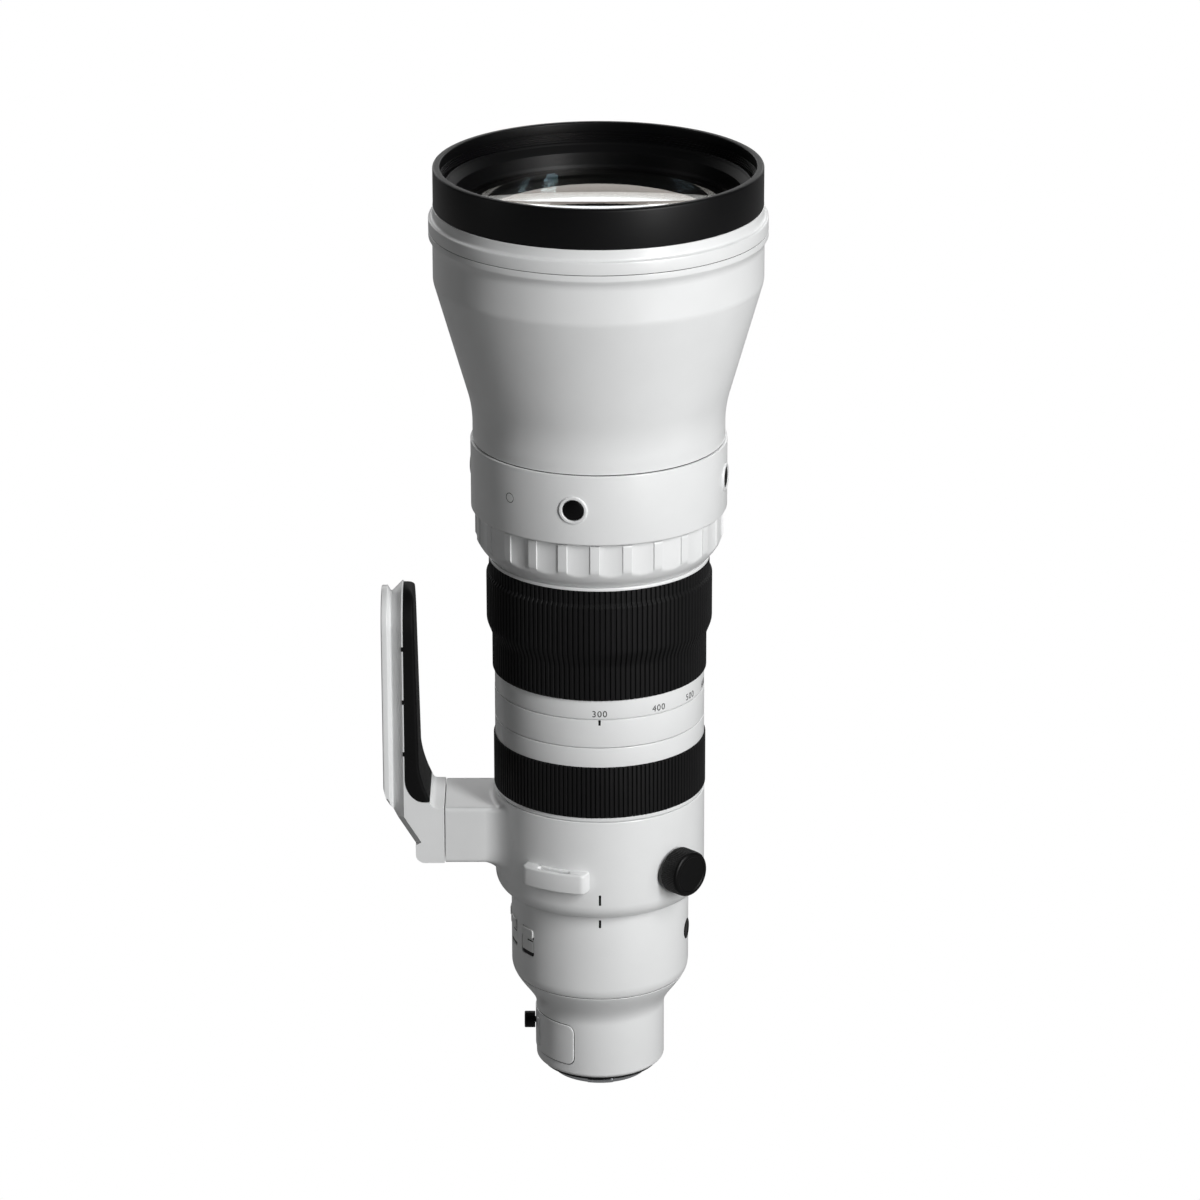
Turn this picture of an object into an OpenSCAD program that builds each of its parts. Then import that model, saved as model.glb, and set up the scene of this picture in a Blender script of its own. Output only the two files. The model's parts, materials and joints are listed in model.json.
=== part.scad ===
// Telephoto zoom lens with tripod collar: every piece of the assembly at its real size.
// The optical axis is Z. Z = 0 is the face of the mount flange and +Z points to the subject.
// Angles around the axis are counted from -Y, positive towards +X.

/* [Barrel lengths] */
// Rear tube, from the mount flange to its parting line
rear_tube_len = 48.4; // [46:0.2:56]
// Rear barrel that carries the slide switches
rear_barrel_len = 45.6; // [44:0.2:56]
// Tripod collar
collar_len = 53.2; // [50:0.2:60]
// Manual focus ring
focus_ring_len = 38.85; // [36:0.05:46]
// Fixed barrel with the zoom index
index_len = 14.6; // [10:0.1:20]
// Zoom ring with grip and number scale
zoom_ring_len = 68.75; // [66:0.05:76]
// Fluted function ring
func_len = 23.5; // [20:0.1:28]
// Control band with the hold buttons
band_len = 35.2; // [32:0.1:44]
// Bell-shaped front barrel
bell_len = 106; // [102:0.5:120]
// White flange ring in front of the bell
flange_len = 11.7; // [11:0.1:15]
// Black front ring
front_ring_len = 19.5; // [16:0.1:24]

/* [Barrel radii] */
// Inner tube under the turning rings, outside
tube_r = 47; // [44:0.1:50]
// Wall of the inner tube under the turning rings
tube_wall = 2; // [1.8:0.1:2.2]
// How much slimmer the inner tube is under the collar
tail_step = 3; // [2:0.1:4]
// Rear tube, outside
rear_tube_r = 32.3; // [30:0.1:35]
// Rear barrel's outside over the inner tube's tail
rear_barrel_step = 0.5; // [0.3:0.1:1.5]
// Wall of the tripod collar
collar_wall = 8; // [7:0.1:9]
// Focus ring and index barrel over the inner tube
ring_rise = 5; // [4.6:0.1:5.6]
// Fluted ring over the focus ring
func_rise = 8.9; // [8:0.1:9.8]
// Control band over the fluted ring
band_rise = 1.9; // [1.5:0.1:2.6]
// Step from the control band down to the bell
bell_tail_step = 1.1; // [0.9:0.1:1.6]
// Growth in radius along the bell
bell_flare = 18.4; // [16:0.1:21]
// White flange over the bell's straight front
flange_rise = 1.9; // [1.6:0.1:2.4]
// Step from the bell's straight front down to the black ring
front_ring_step = 0.4; // [0.2:0.1:0.8]
// Wall of the black front ring
front_ring_wall = 3.5; // [3:0.1:4]

/* [Bell] */
// Radius of the hollow arc between the bell's tail and its cone
bell_arc_r = 61.4; // [50:0.2:80]
// Straight tail of the bell before its curve begins
bell_tail_len = 8; // [4:0.5:12]
// Straight front of the bell behind the flange
bell_front_len = 25.2; // [23:0.1:30]
// Wall of the bell
bell_wall = 3.1; // [2.6:0.1:3.4]

/* [Front glass] */
// Mount around the clear front element, from the bell's outside
front_glass_rim = 12; // [11:0.1:14]
// Radius of curvature of the front element
front_glass_curve = 300; // [250:5:500]
// Edge thickness of the front element
front_glass_edge = 9.2; // [8:0.1:10]
// How much smaller the second element is
second_glass_step = 4.1; // [3:0.1:6]

/* [Grips] */
// Ribs around the zoom grip
zoom_ribs = 132; // [96:4:140]
// Ribs around the focus grip
focus_ribs = 144; // [96:4:160]
// Depth of the grooves between ribs
rib_depth = 0.8; // [0.5:0.1:1]
// Zoom grip's bulge over the focus ring
grip_bulge_rise = 3.7; // [3.2:0.1:4.5]
// Zoom grip's front edge over the focus ring
grip_front_rise = 2.4; // [2:0.1:2.8]
// Zoom grip behind the bulge over the focus ring
grip_rear_rise = 1; // [0.8:0.1:1.4]
// Focus grip over the focus ring
focus_grip_rise = 0.7; // [0.5:0.1:1.2]
// Flutes around the function ring
flutes = 24; // [16:1:30]
// Radius of the cutter that makes a flute
flute_cut_r = 16; // [12:1:24]
// Width of a flute
flute_w = 11.3; // [6:0.1:12]

/* [Zoom mechanism] */
// Turn of the zoom ring from shortest to longest focal length, in degrees
zoom_turn = 80; // [70:1:90]
// Travel of the variator group
variator_travel = 40; // [30:1:42]
// Travel of the compensator group
compensator_travel = 20; // [12:1:22]
// Radius of the cam rollers
roller_r = 2; // [1.5:0.1:2.2]

/* [Tripod foot] */
// Thickness of the foot from its seam with the arm to its outer face
foot_depth = 30.5; // [29:0.5:36]
// Height of the foot above the arm
foot_rise = 111.85; // [95:0.05:120]
// Width of the foot
foot_w = 41.5; // [38:0.5:44]
// Length of the arm from the collar to its seam with the foot
arm_reach = 24.7; // [22:0.1:28]
// Height of the arm
arm_h = 29.5; // [27:0.5:30]
// Radius of the clamp knob
knob_r = 11.6; // [10:0.1:13]
// Thickness of the clamp knob
knob_h = 10; // [8:0.5:14]

/* [Buttons and switches] */
// Radius of a hold button
button_r = 5; // [4.5:0.1:5.4]
// Width of the rim around a hold button
bezel_w = 1.7; // [1.4:0.1:2]
// Width of a slide switch slot
switch_w = 10.5; // [9:0.1:12]
// Height of a slide switch slot
switch_h = 15; // [13:0.1:17]
// Travel of a slide switch
switch_travel = 1.5; // [1:0.1:3]
// Angle between neighbouring switches, in degrees
switch_pitch = 21; // [18:0.5:23]

/* [Filter drawer] */
// Height of the drawer panel
drawer_h = 21.1; // [19:0.1:22]
// Angle that the drawer panel spans, in degrees
drawer_span = 131; // [128:1:134]
// Width of the holder around the drop-in filter
holder_w = 6.25; // [5.5:0.05:8]
// Radius of the drawer knob
drawer_knob_r = 4.2; // [3.4:0.1:4.6]

/* [Mount] */
// Reach of the bayonet lugs from the throat
lug_reach = 2.6; // [2.3:0.1:3]
// Length of the bayonet behind the flange
bayonet_len = 6; // [5:0.1:7]
// Rubber lip behind the flange
gasket_lip = 1.8; // [1:0.1:2.2]

/* [Clearances] */
// Axial gap between turning rings
seam = 0.35; // [0.3:0.05:0.5]
// Radial gap between pieces that turn or slide past each other
run = 0.3; // [0.3:0.02:0.34]
// Radial gap between pieces that are assembled and stay put
seat = 0.05; // [0.03:0.01:0.08]

/* [Hidden] */
$fn = 120;
lens_fn = 1440;
lens_rim = 0.6;
white = "#e4e6e8";
black = "#1b1b1d";
steel = "#b9bcc0";
glass = "#9fb4c4";

// Stations along the optical axis
z_rear = rear_tube_len;
z_barrel = z_rear + rear_barrel_len;
z_collar0 = z_barrel + seam;
z_collar1 = z_collar0 + collar_len;
z_focus0 = z_collar1 + seam;
z_focus1 = z_focus0 + focus_ring_len;
z_index0 = z_focus1 + seam;
z_index1 = z_index0 + index_len;
z_zoom0 = z_index1 + seam;
z_zoom1 = z_zoom0 + zoom_ring_len;
z_func0 = z_zoom1 + seam;
z_func1 = z_func0 + func_len;
func_gap = 0.85;
z_band0 = z_func1 + func_gap;
z_band1 = z_band0 + band_len;
z_bell1 = z_band1 + bell_len;
z_flange1 = z_bell1 + flange_len;
z_front = z_flange1 + front_ring_len;

// Radii of the barrel, from the inner tube outwards
tail_r = tube_r - tail_step;
rear_barrel_r = tail_r + rear_barrel_step;
collar_bore = tail_r + run;
collar_r = collar_bore + collar_wall;
ring_r = tube_r + ring_rise;
func_r = ring_r + func_rise;
band_r = func_r + band_rise;
bell_tail_r = band_r - bell_tail_step;
bell_front_r = bell_tail_r + bell_flare;
flange_r = bell_front_r + flange_rise;
front_ring_r = bell_front_r - front_ring_step;
front_ring_bore = front_ring_r - front_ring_wall;
front_glass_r = bell_front_r - front_glass_rim;
second_glass_r = front_glass_r - second_glass_step;
grip_bulge_r = ring_r + grip_bulge_rise;
grip_front_r = ring_r + grip_front_rise;
grip_rear_r = ring_r + grip_rear_rise;
focus_grip_r = ring_r + focus_grip_rise;

// Edge breaks and lips
edge = 0.5;
line = 0.3;
lip_w = 1.5;
scale_w = 9.7;
scale_step = 0.1;

// Inner tube
tube_bore = tube_r - tube_wall;
tail_wall = 3;
tail_bore = tail_r - tail_wall;
tail_flange = 2.5;
spigot_len = 8;
spigot_wall = 2.4;
barrel_wall = 3;
barrel_bore = rear_barrel_r - barrel_wall;
web_t = 3.6;
web_rim = 11;
web_bore = tail_bore - web_rim;
z_web0 = z_focus0 + tail_flange;
z_web1 = z_web0 + web_t;

// Control band and what hangs on it
hub_wall = 3;
hub_r = tube_r + hub_wall;
band_wall = 4.8;
band_edge = 1;
band_web = 4.5;
band_bore = band_r - band_wall;
z_tube1 = z_band0 + band_web;
bell_spigot_len = 8.7;
bell_spigot_wall = 3.4;
button_rise = 17.9;
button_z = z_band0 + button_rise;
button_angle = -12;
button_pitch = 90;
bezel_r = button_r + run + bezel_w;
bezel_depth = 2;
bezel_proud = 0.6;
button_proud = 0.2;
button_dome = 0.7;
button_flange_w = 1.2;
button_flange_t = 1.4;

// Bell: an arc from the tail runs tangent into the cone that ends at the straight front
z_bell_tail = z_band1 + bell_tail_len;
z_bell_front = z_bell1 - bell_front_len;
bell_run = z_bell_front - z_bell_tail;
bell_angle = atan2(bell_run, bell_arc_r - bell_flare)
    - acos(bell_arc_r / norm([bell_run, bell_arc_r - bell_flare]));
bell_bore = bell_front_r - bell_wall;
cell_ledge = 3;
flange_half = 9.2;
flange_chamfer = 3.4;
flange_fillet = 2.1;
flange_step = 6.3;
rim_round = 1.2;

// Front glass and its cell
glass_rim = 2.4;
cell_r = bell_bore - seat;
z_cell0 = z_bell_front + edge;
glass_drop = 1.2;
z_glass_edge = z_flange1 - glass_drop;
z_glass_seat = z_glass_edge - front_glass_edge;
second_edge = 16;
second_curve = 220;
back_flat = 900;
second_seat = 3;
second_ledge = 4;
baffle_r = front_ring_bore - seat;
baffle_top = 10.8;
baffle_lip_step = 2.5;
baffle_lip_h = 11.6;
baffle_foot_step = 1.5;
baffle_foot_h = 7.1;

// Grips
ring_under = 1.4;
ring_bore = tube_r + run;
focus_lip = 2;
focus_front_w = 10;
z_focus_grip0 = z_focus0 + focus_lip;
z_focus_grip1 = z_focus1 - focus_front_w;
z_zoom_grip0 = z_zoom0 + scale_w;
z_zoom_grip1 = z_zoom1 - lip_w;
seat_r = ring_r - ring_under;
grip_taper0 = 18.3;
grip_taper1 = 25.3;
grip_front_w = 6.8;
grip_front_taper = 1.5;
groove_share = 0.42;
rib_root = 0.3;
rib_inset = 0.25;

// Fluted ring
func_skirt = 13.6;
func_neck_rise = 2.1;
func_neck_r = ring_r + func_neck_rise;
func_shell = 3.4;
func_floor = 4;
func_sleeve = 2.2;
func_bow = 0.7;
flute_start = 5.5;

// Cam barrel, rollers and the two zoom groups
cam_gap = 0.4;
cam_wall = 2;
cam_r = tube_bore - cam_gap;
cam_bore = cam_r - cam_wall;
cell_outer = cam_bore - cam_gap;
roller_angle = 20;
roller_count = 3;
roller_short = 0.1;
roller_reach = tube_r - roller_short;
slot_clear = 0.3;
slot_steps = 16;
variator_back = 15.75;
variator_z = z_zoom1 - variator_back;
compensator_back = 7.1;
compensator_z = z_index0 - compensator_back;
pin_r = 1.8;
pin_count = 2;
pin_angle = 75;
pin_back = 6.8;
pin_z = z_zoom1 - pin_back;
pin_swing = 4;
cam_len0 = 10;
cam_len1 = 4;
z_cam0 = compensator_z - cam_len0;
z_cam1 = pin_z + cam_len1;
group_len = 12;
glass_ledge = 1.5;
group_glass_edge = 7;
group_back = 240;
variator_rim = 12.2;
variator_r = cell_outer - variator_rim;
variator_curve = 200;
compensator_rim = 15.2;
compensator_r = cell_outer - compensator_rim;
compensator_curve = 80;

// Iris, focus group and its rods
iris_h = 9;
z_iris0 = z_barrel + web_t;
z_iris1 = z_iris0 + iris_h;
iris_r = tail_bore - seat;
iris_rim = 15;
iris_bore = tail_bore - iris_rim;
iris_wall = 2;
blade_count = 11;
blade_t = 0.25;
blade_gap = 0.15;
blade_rim = 4.5;
blade_r = tail_bore - blade_rim;
blade_over = 1.5;
blade_cut_r = blade_r + blade_over;
blade_shift = 15;
rod_r = 2;
rod_in = 4.5;
rod_place = tail_bore - rod_in;
rod_angles = [-30, 150];
rod_blind = 1.5;
focus_len = 20;
focus_rest_gap = 3;
z_cellf0 = z_web0 - focus_rest_gap - focus_len;
focus_run = 0.5;
focus_r = tail_bore - focus_run;
focus_glass_rim = 19;
focus_glass_r = tail_bore - focus_glass_rim;
focus_glass_edge = 9;
focus_curve = 90;
focus_rim = 4;
motor_angles = [60, 240];
motor_size = [9, 6];
motor_room = 1.5;

// Stabiliser and rear group
shelf_t = 3;
shelf_w = 8.5;
shelf_bore = barrel_bore - shelf_w;
shelf_rise = 5;
z_shelf = z_rear + shelf_rise;
stab_gap = 0.35;
stab_rim = 4.5;
stab_frame_r = barrel_bore - stab_rim;
stab_frame_w = 10;
stab_bore = stab_frame_r - stab_frame_w;
stab_h = 4;
stab_play = 2.5;
stab_cell_r = stab_bore - stab_play;
stab_flange_w = 4;
stab_flange_r = stab_bore + stab_flange_w;
stab_flange_t = 2.6;
stab_cell_wall = 3.5;
stab_glass_r = stab_cell_r - stab_cell_wall;
stab_glass_edge = 4;
stab_curve = 90;
board_t = 1.6;
board_rim = 2.5;
board_clear = 2;

// Collar, arm, foot
collar_round_z = 8.6;
collar_lip = 0.9;
collar_edge_r = collar_bore + collar_lip;
arm_drop = 4.9;
arm_z1 = z_collar1 - arm_drop;
arm_z0 = arm_z1 - arm_h;
seam_x = collar_r + arm_reach;
foot_out = seam_x + foot_depth;
foot_top = arm_z1 + foot_rise;
arm_fillet_top = 3.6;
arm_fillet_low = 10;
arm_edge = 1;
foot_gap = 0.1;
heel_z = 39;
heel_tip = [1.4, 33.05];
heel_block = 14.6;
heel_rise = 9.75;
heel_round = 4.5;
rail_edge = 0.8;
rail_step = 2.3;
rail_half = foot_w / 2 - rail_step;
rail_lip = 3;
groove_x = 4.8;
groove_depth = 3;
body_x = 10.2;
foot_top_t = 10.9;
foot_curve = [9.5, 12.5];
foot_curve_in = 10.7;
foot_curve_x = foot_out - foot_curve_in;
foot_round = 2;
ledge_rise = 2.85;
ledge_z = arm_z1 + ledge_rise;
ledge_in = 6.9;
ledge_out = 4.1;
z_turn = foot_top - foot_w / 2;
pad_t = 5.2;
pad_low_t = 7.2;
pad_tip_t = 1.2;
pad_tip_in = 0.3;
pad_bend = 19.15;
pad_bow = -0.8;
pad_margin = 0.6;
pad_w = foot_w - 2 * pad_margin;
screw_r = 2.5;
screw_head_r = 4.2;
screw_head_h = 4;
screw_key_r = 2;
screw_y = 11;
screw_rise = 12;
screw_wall = 11;
screw_grip = 12;
tripod_hole_r = [3.97, 2.55];
tripod_hole_depth = 8;
tripod_hole_z = [-35.5, -65.5];

// Clamp knob
knob_angle = 45;
knob_rise = 22.65;
knob_z = z_collar0 + knob_rise;
knob_boss_r = 8.5;
knob_boss = 1.4;
knob_round = 1.8;
stem_r = 3;
shoe_r = 5;
shoe_t = 2.8;
clamp_travel = 0.75;

// Strap lugs, mirrored about the foot
lug_angle = -24.7;
strap_span = 31;
strap_rise = 16.7;
strap_z = z_collar0 + strap_rise;
strap_h = 10.4;
strap_reach = 5.7;
strap_slot = [16, 2.4];
strap_slot_from = 1.3;
strap_round = 3;

// Slide switches and side plug
switch_angle = -55.2;
switch_rise = 17.1;
switch_z = z_rear + switch_rise;
switch_depth = 1.3;
switch_proud = 0.2;
switch_tab = 0.8;
switch_tab_rise = 9.8;
switch_stem_r = 1.5;
switch_stem_len = 2;
switch_stem_rise = 9.1;
switch_stem_z = switch_z + switch_stem_rise;
switch_tab_share = 0.94;
switch_tab_rim = 0.4;
plug_angle = 78;
plug_rise = 24.1;
plug_z = z_rear + plug_rise;
plug_r = 5.2;
plug_depth = 1.9;
plug_proud = 0.3;

// Rear tube, drawer and mount
cone_over = 5.6;
tube_end_round = 2.5;
tube_end_step = 2.8;
mount_end_r = rear_tube_r - tube_end_step;
chamber_wall = 2.3;
chamber_r = rear_tube_r - chamber_wall;
drawer_z0 = 6.15;
chamber_low = 0.65;
chamber_high = 1.25;
chamber_z0 = drawer_z0 - chamber_low;
chamber_z1 = drawer_z0 + drawer_h + chamber_high;
cone_rise = 0.5;
cone_z0 = chamber_z1 + cone_rise;
drawer_angle = -90;
drawer_proud = 0.4;
drawer_play = seam / rear_tube_r * 180 / PI;
holder_neck = 32;
holder_in = 3.5;
holder_r = chamber_r - holder_in;
filter_r = holder_r - holder_w;
holder_low = 2.85;
holder_high = 3.25;
holder_z0 = drawer_z0 + holder_low;
holder_h = drawer_h - holder_low - holder_high;
filter_t = 2.5;
filter_ledge = 1.8;
drawer_knob_z = 18.3;
drawer_knob_len = 5.4;
drawer_stem_r = 1.5;
drawer_stem_len = 2;
plate_t = 3;
plate_step = 1.1;
plate_r = mount_end_r - plate_step;
plate_w = 5.4;
throat_r = plate_r - plate_w;
lug_r = throat_r + lug_reach;
bayonet_wall = 1.6;
lug_t = 1.4;
lug_w = 13;
lug_count = 4;
flange_web = 1.5;
flange_web_bore = throat_r - flange_web;
mount_screw_r = 1;
mount_screw_head_r = 1.75;
mount_screw_head = 1.2;
mount_screw_len = 4.6;
mount_screw_in = 2;
mount_screw_place = plate_r - mount_screw_in;
gasket_w = 0.9;
contact_count = 10;
contact_pitch = 7;
contact_r = 0.7;
contact_clear = 2.6;
contact_w = 4;
contact_out = throat_r - contact_clear;
contact_in = contact_out - contact_w;
contact_span = 78;
contact_back = 3.6;
contact_deep = 1.2;
contact_proud = 0.25;
rear_glass_in = 3;
rear_glass_r = throat_r - rear_glass_in;
board_bore = rear_glass_r + board_clear;
rear_glass_edge = 8;
rear_front_curve = 45;
rear_back_curve = 60;
rear_glass_rise = 4.5;
rear_glass_z = chamber_z1 + rear_glass_rise;
rear_ledge = 1;

// Shared shapes
function arc(c, r, a0, a1, n) = [for (i = [0 : n])
    let (a = a0 + (a1 - a0) * i / n) c + r * [cos(a), sin(a)]];
function bow(p, q, s, n) = [for (i = [0 : n])
    let (t = i / n, d = q - p) p + d * t + 4 * s * t * (1 - t) * [d[1], -d[0]] / norm(d)];
function wave(p, q, n) = [for (i = [0 : n]) [p[0] + (q[0] - p[0]) * (1 - cos(180 * i / n)) / 2,
    p[1] + (q[1] - p[1]) * i / n]];
function keep_below(points, z) = [for (p = points) if (p[1] < z) p];
function keep_above(points, z) = [for (p = points) if (p[1] > z) p];

module revolve(points) rotate_extrude() polygon(points);

module radial(angle, z) rotate([0, 0, angle]) translate([0, 0, z]) rotate([90, 0, 0]) children();

module sector(from, to) rotate([0, 0, from - 90]) rotate_extrude(angle = to - from) children();

module sector_box(from, to, r0, r1, z0, z1) sector(from, to) translate([r0, z0]) square([r1 - r0, z1 - z0]);

module side_plate(points, width) rotate([90, 0, 0]) linear_extrude(width, center = true) polygon(points);

// One face of a lens: a positive curve bulges outwards and a negative one is hollow
module lens_face(r, z, curve, side) {
    edge_r = curve > 0 ? r : r - lens_rim;
    centre = sqrt(curve * curve - edge_r * edge_r);
    if (curve > 0) intersection() {
        children();
        translate([0, z - side * centre]) circle(curve, $fn = lens_fn);
    }
    else difference() {
        children();
        translate([0, z + side * centre]) circle(-curve, $fn = lens_fn);
    }
}

// A lens between two edge planes
module lens(r, z0, z1, front, back) {
    low = back > 0 ? r : 0;
    high = front > 0 ? r : 0;
    rotate_extrude() lens_face(r, z1, front, 1) lens_face(r, z0, back, -1)
        translate([0, z0 - low]) square([r, z1 - z0 + low + high]);
}

module front_ring() color(black) revolve(concat(
    [[front_ring_bore, z_flange1], [front_ring_r - edge, z_flange1], [front_ring_r, z_flange1 + edge]],
    arc([front_ring_r - rim_round, z_front - rim_round], rim_round, 0, 90, 6),
    [[front_ring_bore + edge, z_front], [front_ring_bore, z_front - edge]]
));

module hood_flange_ring() color(white) {
    z_step = z_bell1 + flange_step;
    neck_r = flange_r - flange_fillet;
    revolve(concat(
        [[bell_bore, z_bell1], [flange_r - edge, z_bell1], [flange_r, z_bell1 + edge],
            [flange_r, z_step - edge]],
        arc([flange_r - edge / 2, z_step + flange_fillet - edge / 2], flange_fillet - edge / 2, 270, 180, 8),
        [[neck_r, z_flange1], [bell_bore, z_flange1]]
    ));
}

module front_barrel() color(white) {
    spigot_r = band_bore - seat;
    tail_in = bell_tail_r - bell_wall;
    arc_c = [bell_tail_r + bell_arc_r, z_bell_tail];
    z_flange0 = z_bell1 - flange_half;
    revolve(concat(
        [[spigot_r - bell_spigot_wall, z_band1 - bell_spigot_len], [spigot_r, z_band1 - bell_spigot_len],
            [spigot_r, z_band1], [bell_tail_r - edge, z_band1], [bell_tail_r, z_band1 + edge]],
        arc(arc_c, bell_arc_r, 180, 180 - bell_angle, 12),
        [[bell_front_r, z_bell_front], [bell_front_r, z_flange0], [flange_r, z_flange0 + flange_chamfer],
            [flange_r, z_bell1 - edge], [flange_r - edge, z_bell1], [bell_bore, z_bell1],
            [bell_bore, z_cell0],
            [bell_bore - cell_ledge, z_cell0], [tail_in, z_bell_tail], [tail_in, z_band1 + bell_spigot_wall],
            [spigot_r - bell_spigot_wall, z_band1]]
    ));
}

module front_cell() color(black) {
    glass_r = front_glass_r + glass_rim + seat;
    second_r = second_glass_r + seat;
    z_second = z_cell0 + second_ledge;
    revolve([
        [second_r - second_seat, z_cell0], [cell_r, z_cell0], [cell_r, z_glass_edge], [glass_r, z_glass_edge],
        [glass_r, z_glass_seat], [second_r, z_glass_seat], [second_r, z_second],
        [second_r - second_seat, z_second]
    ]);
}

module front_baffle() color(black) revolve([
    [front_glass_r, z_glass_edge], [baffle_r, z_glass_edge], [baffle_r, z_glass_edge + baffle_top],
    [front_ring_bore - baffle_lip_step, z_glass_edge + baffle_lip_h],
    [front_glass_r + baffle_foot_step, z_glass_edge + baffle_foot_h]
]);

module front_element() color(glass) {
    rim_r = front_glass_r + glass_rim;
    z_mid = z_glass_edge - front_glass_edge / 2;
    lens(front_glass_r - seat, z_mid, z_glass_edge, front_glass_curve, -back_flat);
    rotate_extrude() translate([0, z_glass_seat]) square([rim_r, front_glass_edge]);
}

module second_element() color(glass) {
    z0 = z_cell0 + second_ledge;
    lens(second_glass_r, z0, z0 + second_edge, -second_curve, -back_flat);
}

module at_buttons() for (k = [0 : 3]) radial(button_angle + button_pitch * k, button_z) children();

module control_band() color(white) difference() {
    revolve([
        [tube_r + seat, z_func0], [hub_r, z_func0], [hub_r, z_band0], [band_r - band_edge, z_band0],
        [band_r, z_band0 + band_edge], [band_r, z_band1 - band_edge], [band_r - band_edge, z_band1],
        [band_bore, z_band1], [band_bore, z_tube1], [tube_r + seat, z_tube1]
    ]);
    at_buttons() {
        translate([0, 0, band_r - bezel_depth]) cylinder(r = bezel_r + seat, h = band_r);
        cylinder(r = button_r + run, h = band_r);
    }
}

module button_bezels() color(white) at_buttons() translate([0, 0, band_r - bezel_depth])
    revolve([
        [button_r + run, 0], [bezel_r, 0], [bezel_r, bezel_depth + bezel_proud - edge],
        [bezel_r - edge, bezel_depth + bezel_proud], [button_r + run + edge, bezel_depth + bezel_proud],
        [button_r + run, bezel_depth + bezel_proud - edge]
    ]);

module hold_button(k) color(black) radial(button_angle + button_pitch * (k - 1), button_z) {
    flange = button_r + button_flange_w;
    top = sqrt(band_bore * band_bore - flange * flange) - run;
    face = band_r + button_proud;
    revolve(concat(
        [[0, top - button_flange_t], [flange, top - button_flange_t], [flange, top], [button_r, top]],
        [for (i = [0 : 6]) button_r * [1 - i / 6, 0] + [0, face + button_dome * (1 - pow(1 - i / 6, 2))]]
    ));
}

module roller_slot(z_low, z_high) {
    w = roller_r + slot_clear;
    for (k = [0 : roller_count - 1]) radial(roller_angle + 360 / roller_count * k, 0) {
        translate([-w, z_low, tube_bore - tube_wall]) cube([2 * w, z_high - z_low, 3 * tube_wall]);
        for (z = [z_low, z_high]) translate([0, z, tube_bore - tube_wall]) cylinder(r = w, h = 3 * tube_wall);
    }
}

module main_tube() color(black) difference() {
    revolve([
        [barrel_bore - seat - spigot_wall, z_barrel - spigot_len],
        [barrel_bore - seat, z_barrel - spigot_len],
        [barrel_bore - seat, z_barrel], [tail_r, z_barrel], [tail_r, z_focus0], [tube_r, z_focus0],
        [tube_r, z_tube1], [tube_bore, z_tube1], [tube_bore, z_web1], [web_bore, z_web1], [web_bore, z_web0],
        [tail_bore, z_web0], [tail_bore, z_iris0], [barrel_bore - seat - spigot_wall, z_iris0]
    ]);
    roller_slot(variator_z - variator_travel, variator_z);
    roller_slot(compensator_z, compensator_z + compensator_travel);
    for (k = [0 : pin_count - 1])
        sector_box(pin_angle + 360 / pin_count * k - zoom_turn - pin_swing,
            pin_angle + 360 / pin_count * k + pin_swing, tube_bore - tube_wall, tube_r + tube_wall,
            pin_z - pin_r - slot_clear, pin_z + pin_r + slot_clear);
    at_rods() translate([0, 0, z_web0 - 1]) cylinder(r = rod_r + seat, h = rod_blind + 1);
}

module index_barrel() color(white) revolve([
    [tube_r + seat, z_index0], [ring_r - line, z_index0], [ring_r, z_index0 + line],
    [ring_r, z_index1 - line],
    [ring_r - line, z_index1], [tube_r + seat, z_index1]
]);

cone_points = wave([rear_tube_r, cone_z0], [rear_barrel_r, z_rear + cone_over], 24);
cone_t = (z_rear - cone_z0) / (z_rear + cone_over - cone_z0);
split_r = rear_tube_r + (rear_barrel_r - rear_tube_r) * (1 - cos(180 * cone_t)) / 2;

module rear_barrel() color(white) difference() {
    revolve(concat(
        [[barrel_bore, z_rear], [split_r - line, z_rear]], keep_above(cone_points, z_rear + line),
        [[rear_barrel_r, z_barrel - edge], [rear_barrel_r - edge, z_barrel], [barrel_bore, z_barrel],
            [barrel_bore, z_shelf + shelf_t], [shelf_bore, z_shelf + shelf_t], [shelf_bore, z_shelf],
            [barrel_bore, z_shelf]]
    ));
    for (k = [0 : 3]) {
        a = switch_angle - switch_pitch * k;
        half = switch_w / 2 / rear_barrel_r * 180 / PI;
        sector_box(a - half, a + half, rear_barrel_r - switch_depth, rear_barrel_r + switch_depth,
            switch_z, switch_z + switch_h);
        radial(a, switch_stem_z) translate([0, 0, barrel_bore - 1]) {
            w = switch_stem_r + run;
            cylinder(r = w, h = barrel_wall);
            translate([0, -switch_travel, 0]) cylinder(r = w, h = barrel_wall);
            translate([-w, -switch_travel, 0]) cube([2 * w, switch_travel, barrel_wall]);
        }
    }
    radial(plug_angle, plug_z) translate([0, 0, rear_barrel_r - plug_depth])
        cylinder(r = plug_r + seat, h = 2 * plug_depth);
}

module switch_slider(k) color(white) {
    a = switch_angle - switch_pitch * (k - 1);
    degree = 180 / PI / rear_barrel_r;
    half = (switch_w / 2 - run) * degree;
    r0 = rear_barrel_r - switch_depth + run;
    z1 = switch_z + switch_h - run;
    z0 = switch_z + switch_travel + 2 * run;
    sector_box(a - half, a + half, r0, rear_barrel_r + switch_proud, z0, z1);
    sector_box(a - half * switch_tab_share, a + half * switch_tab_share, r0 + switch_depth / 4,
        rear_barrel_r + switch_tab, switch_z + switch_tab_rise, z1 - switch_tab_rim);
    radial(a, switch_stem_z) translate([0, 0, barrel_bore - switch_stem_len])
        cylinder(r = switch_stem_r, h = r0 + edge - barrel_bore + switch_stem_len);
}

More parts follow.
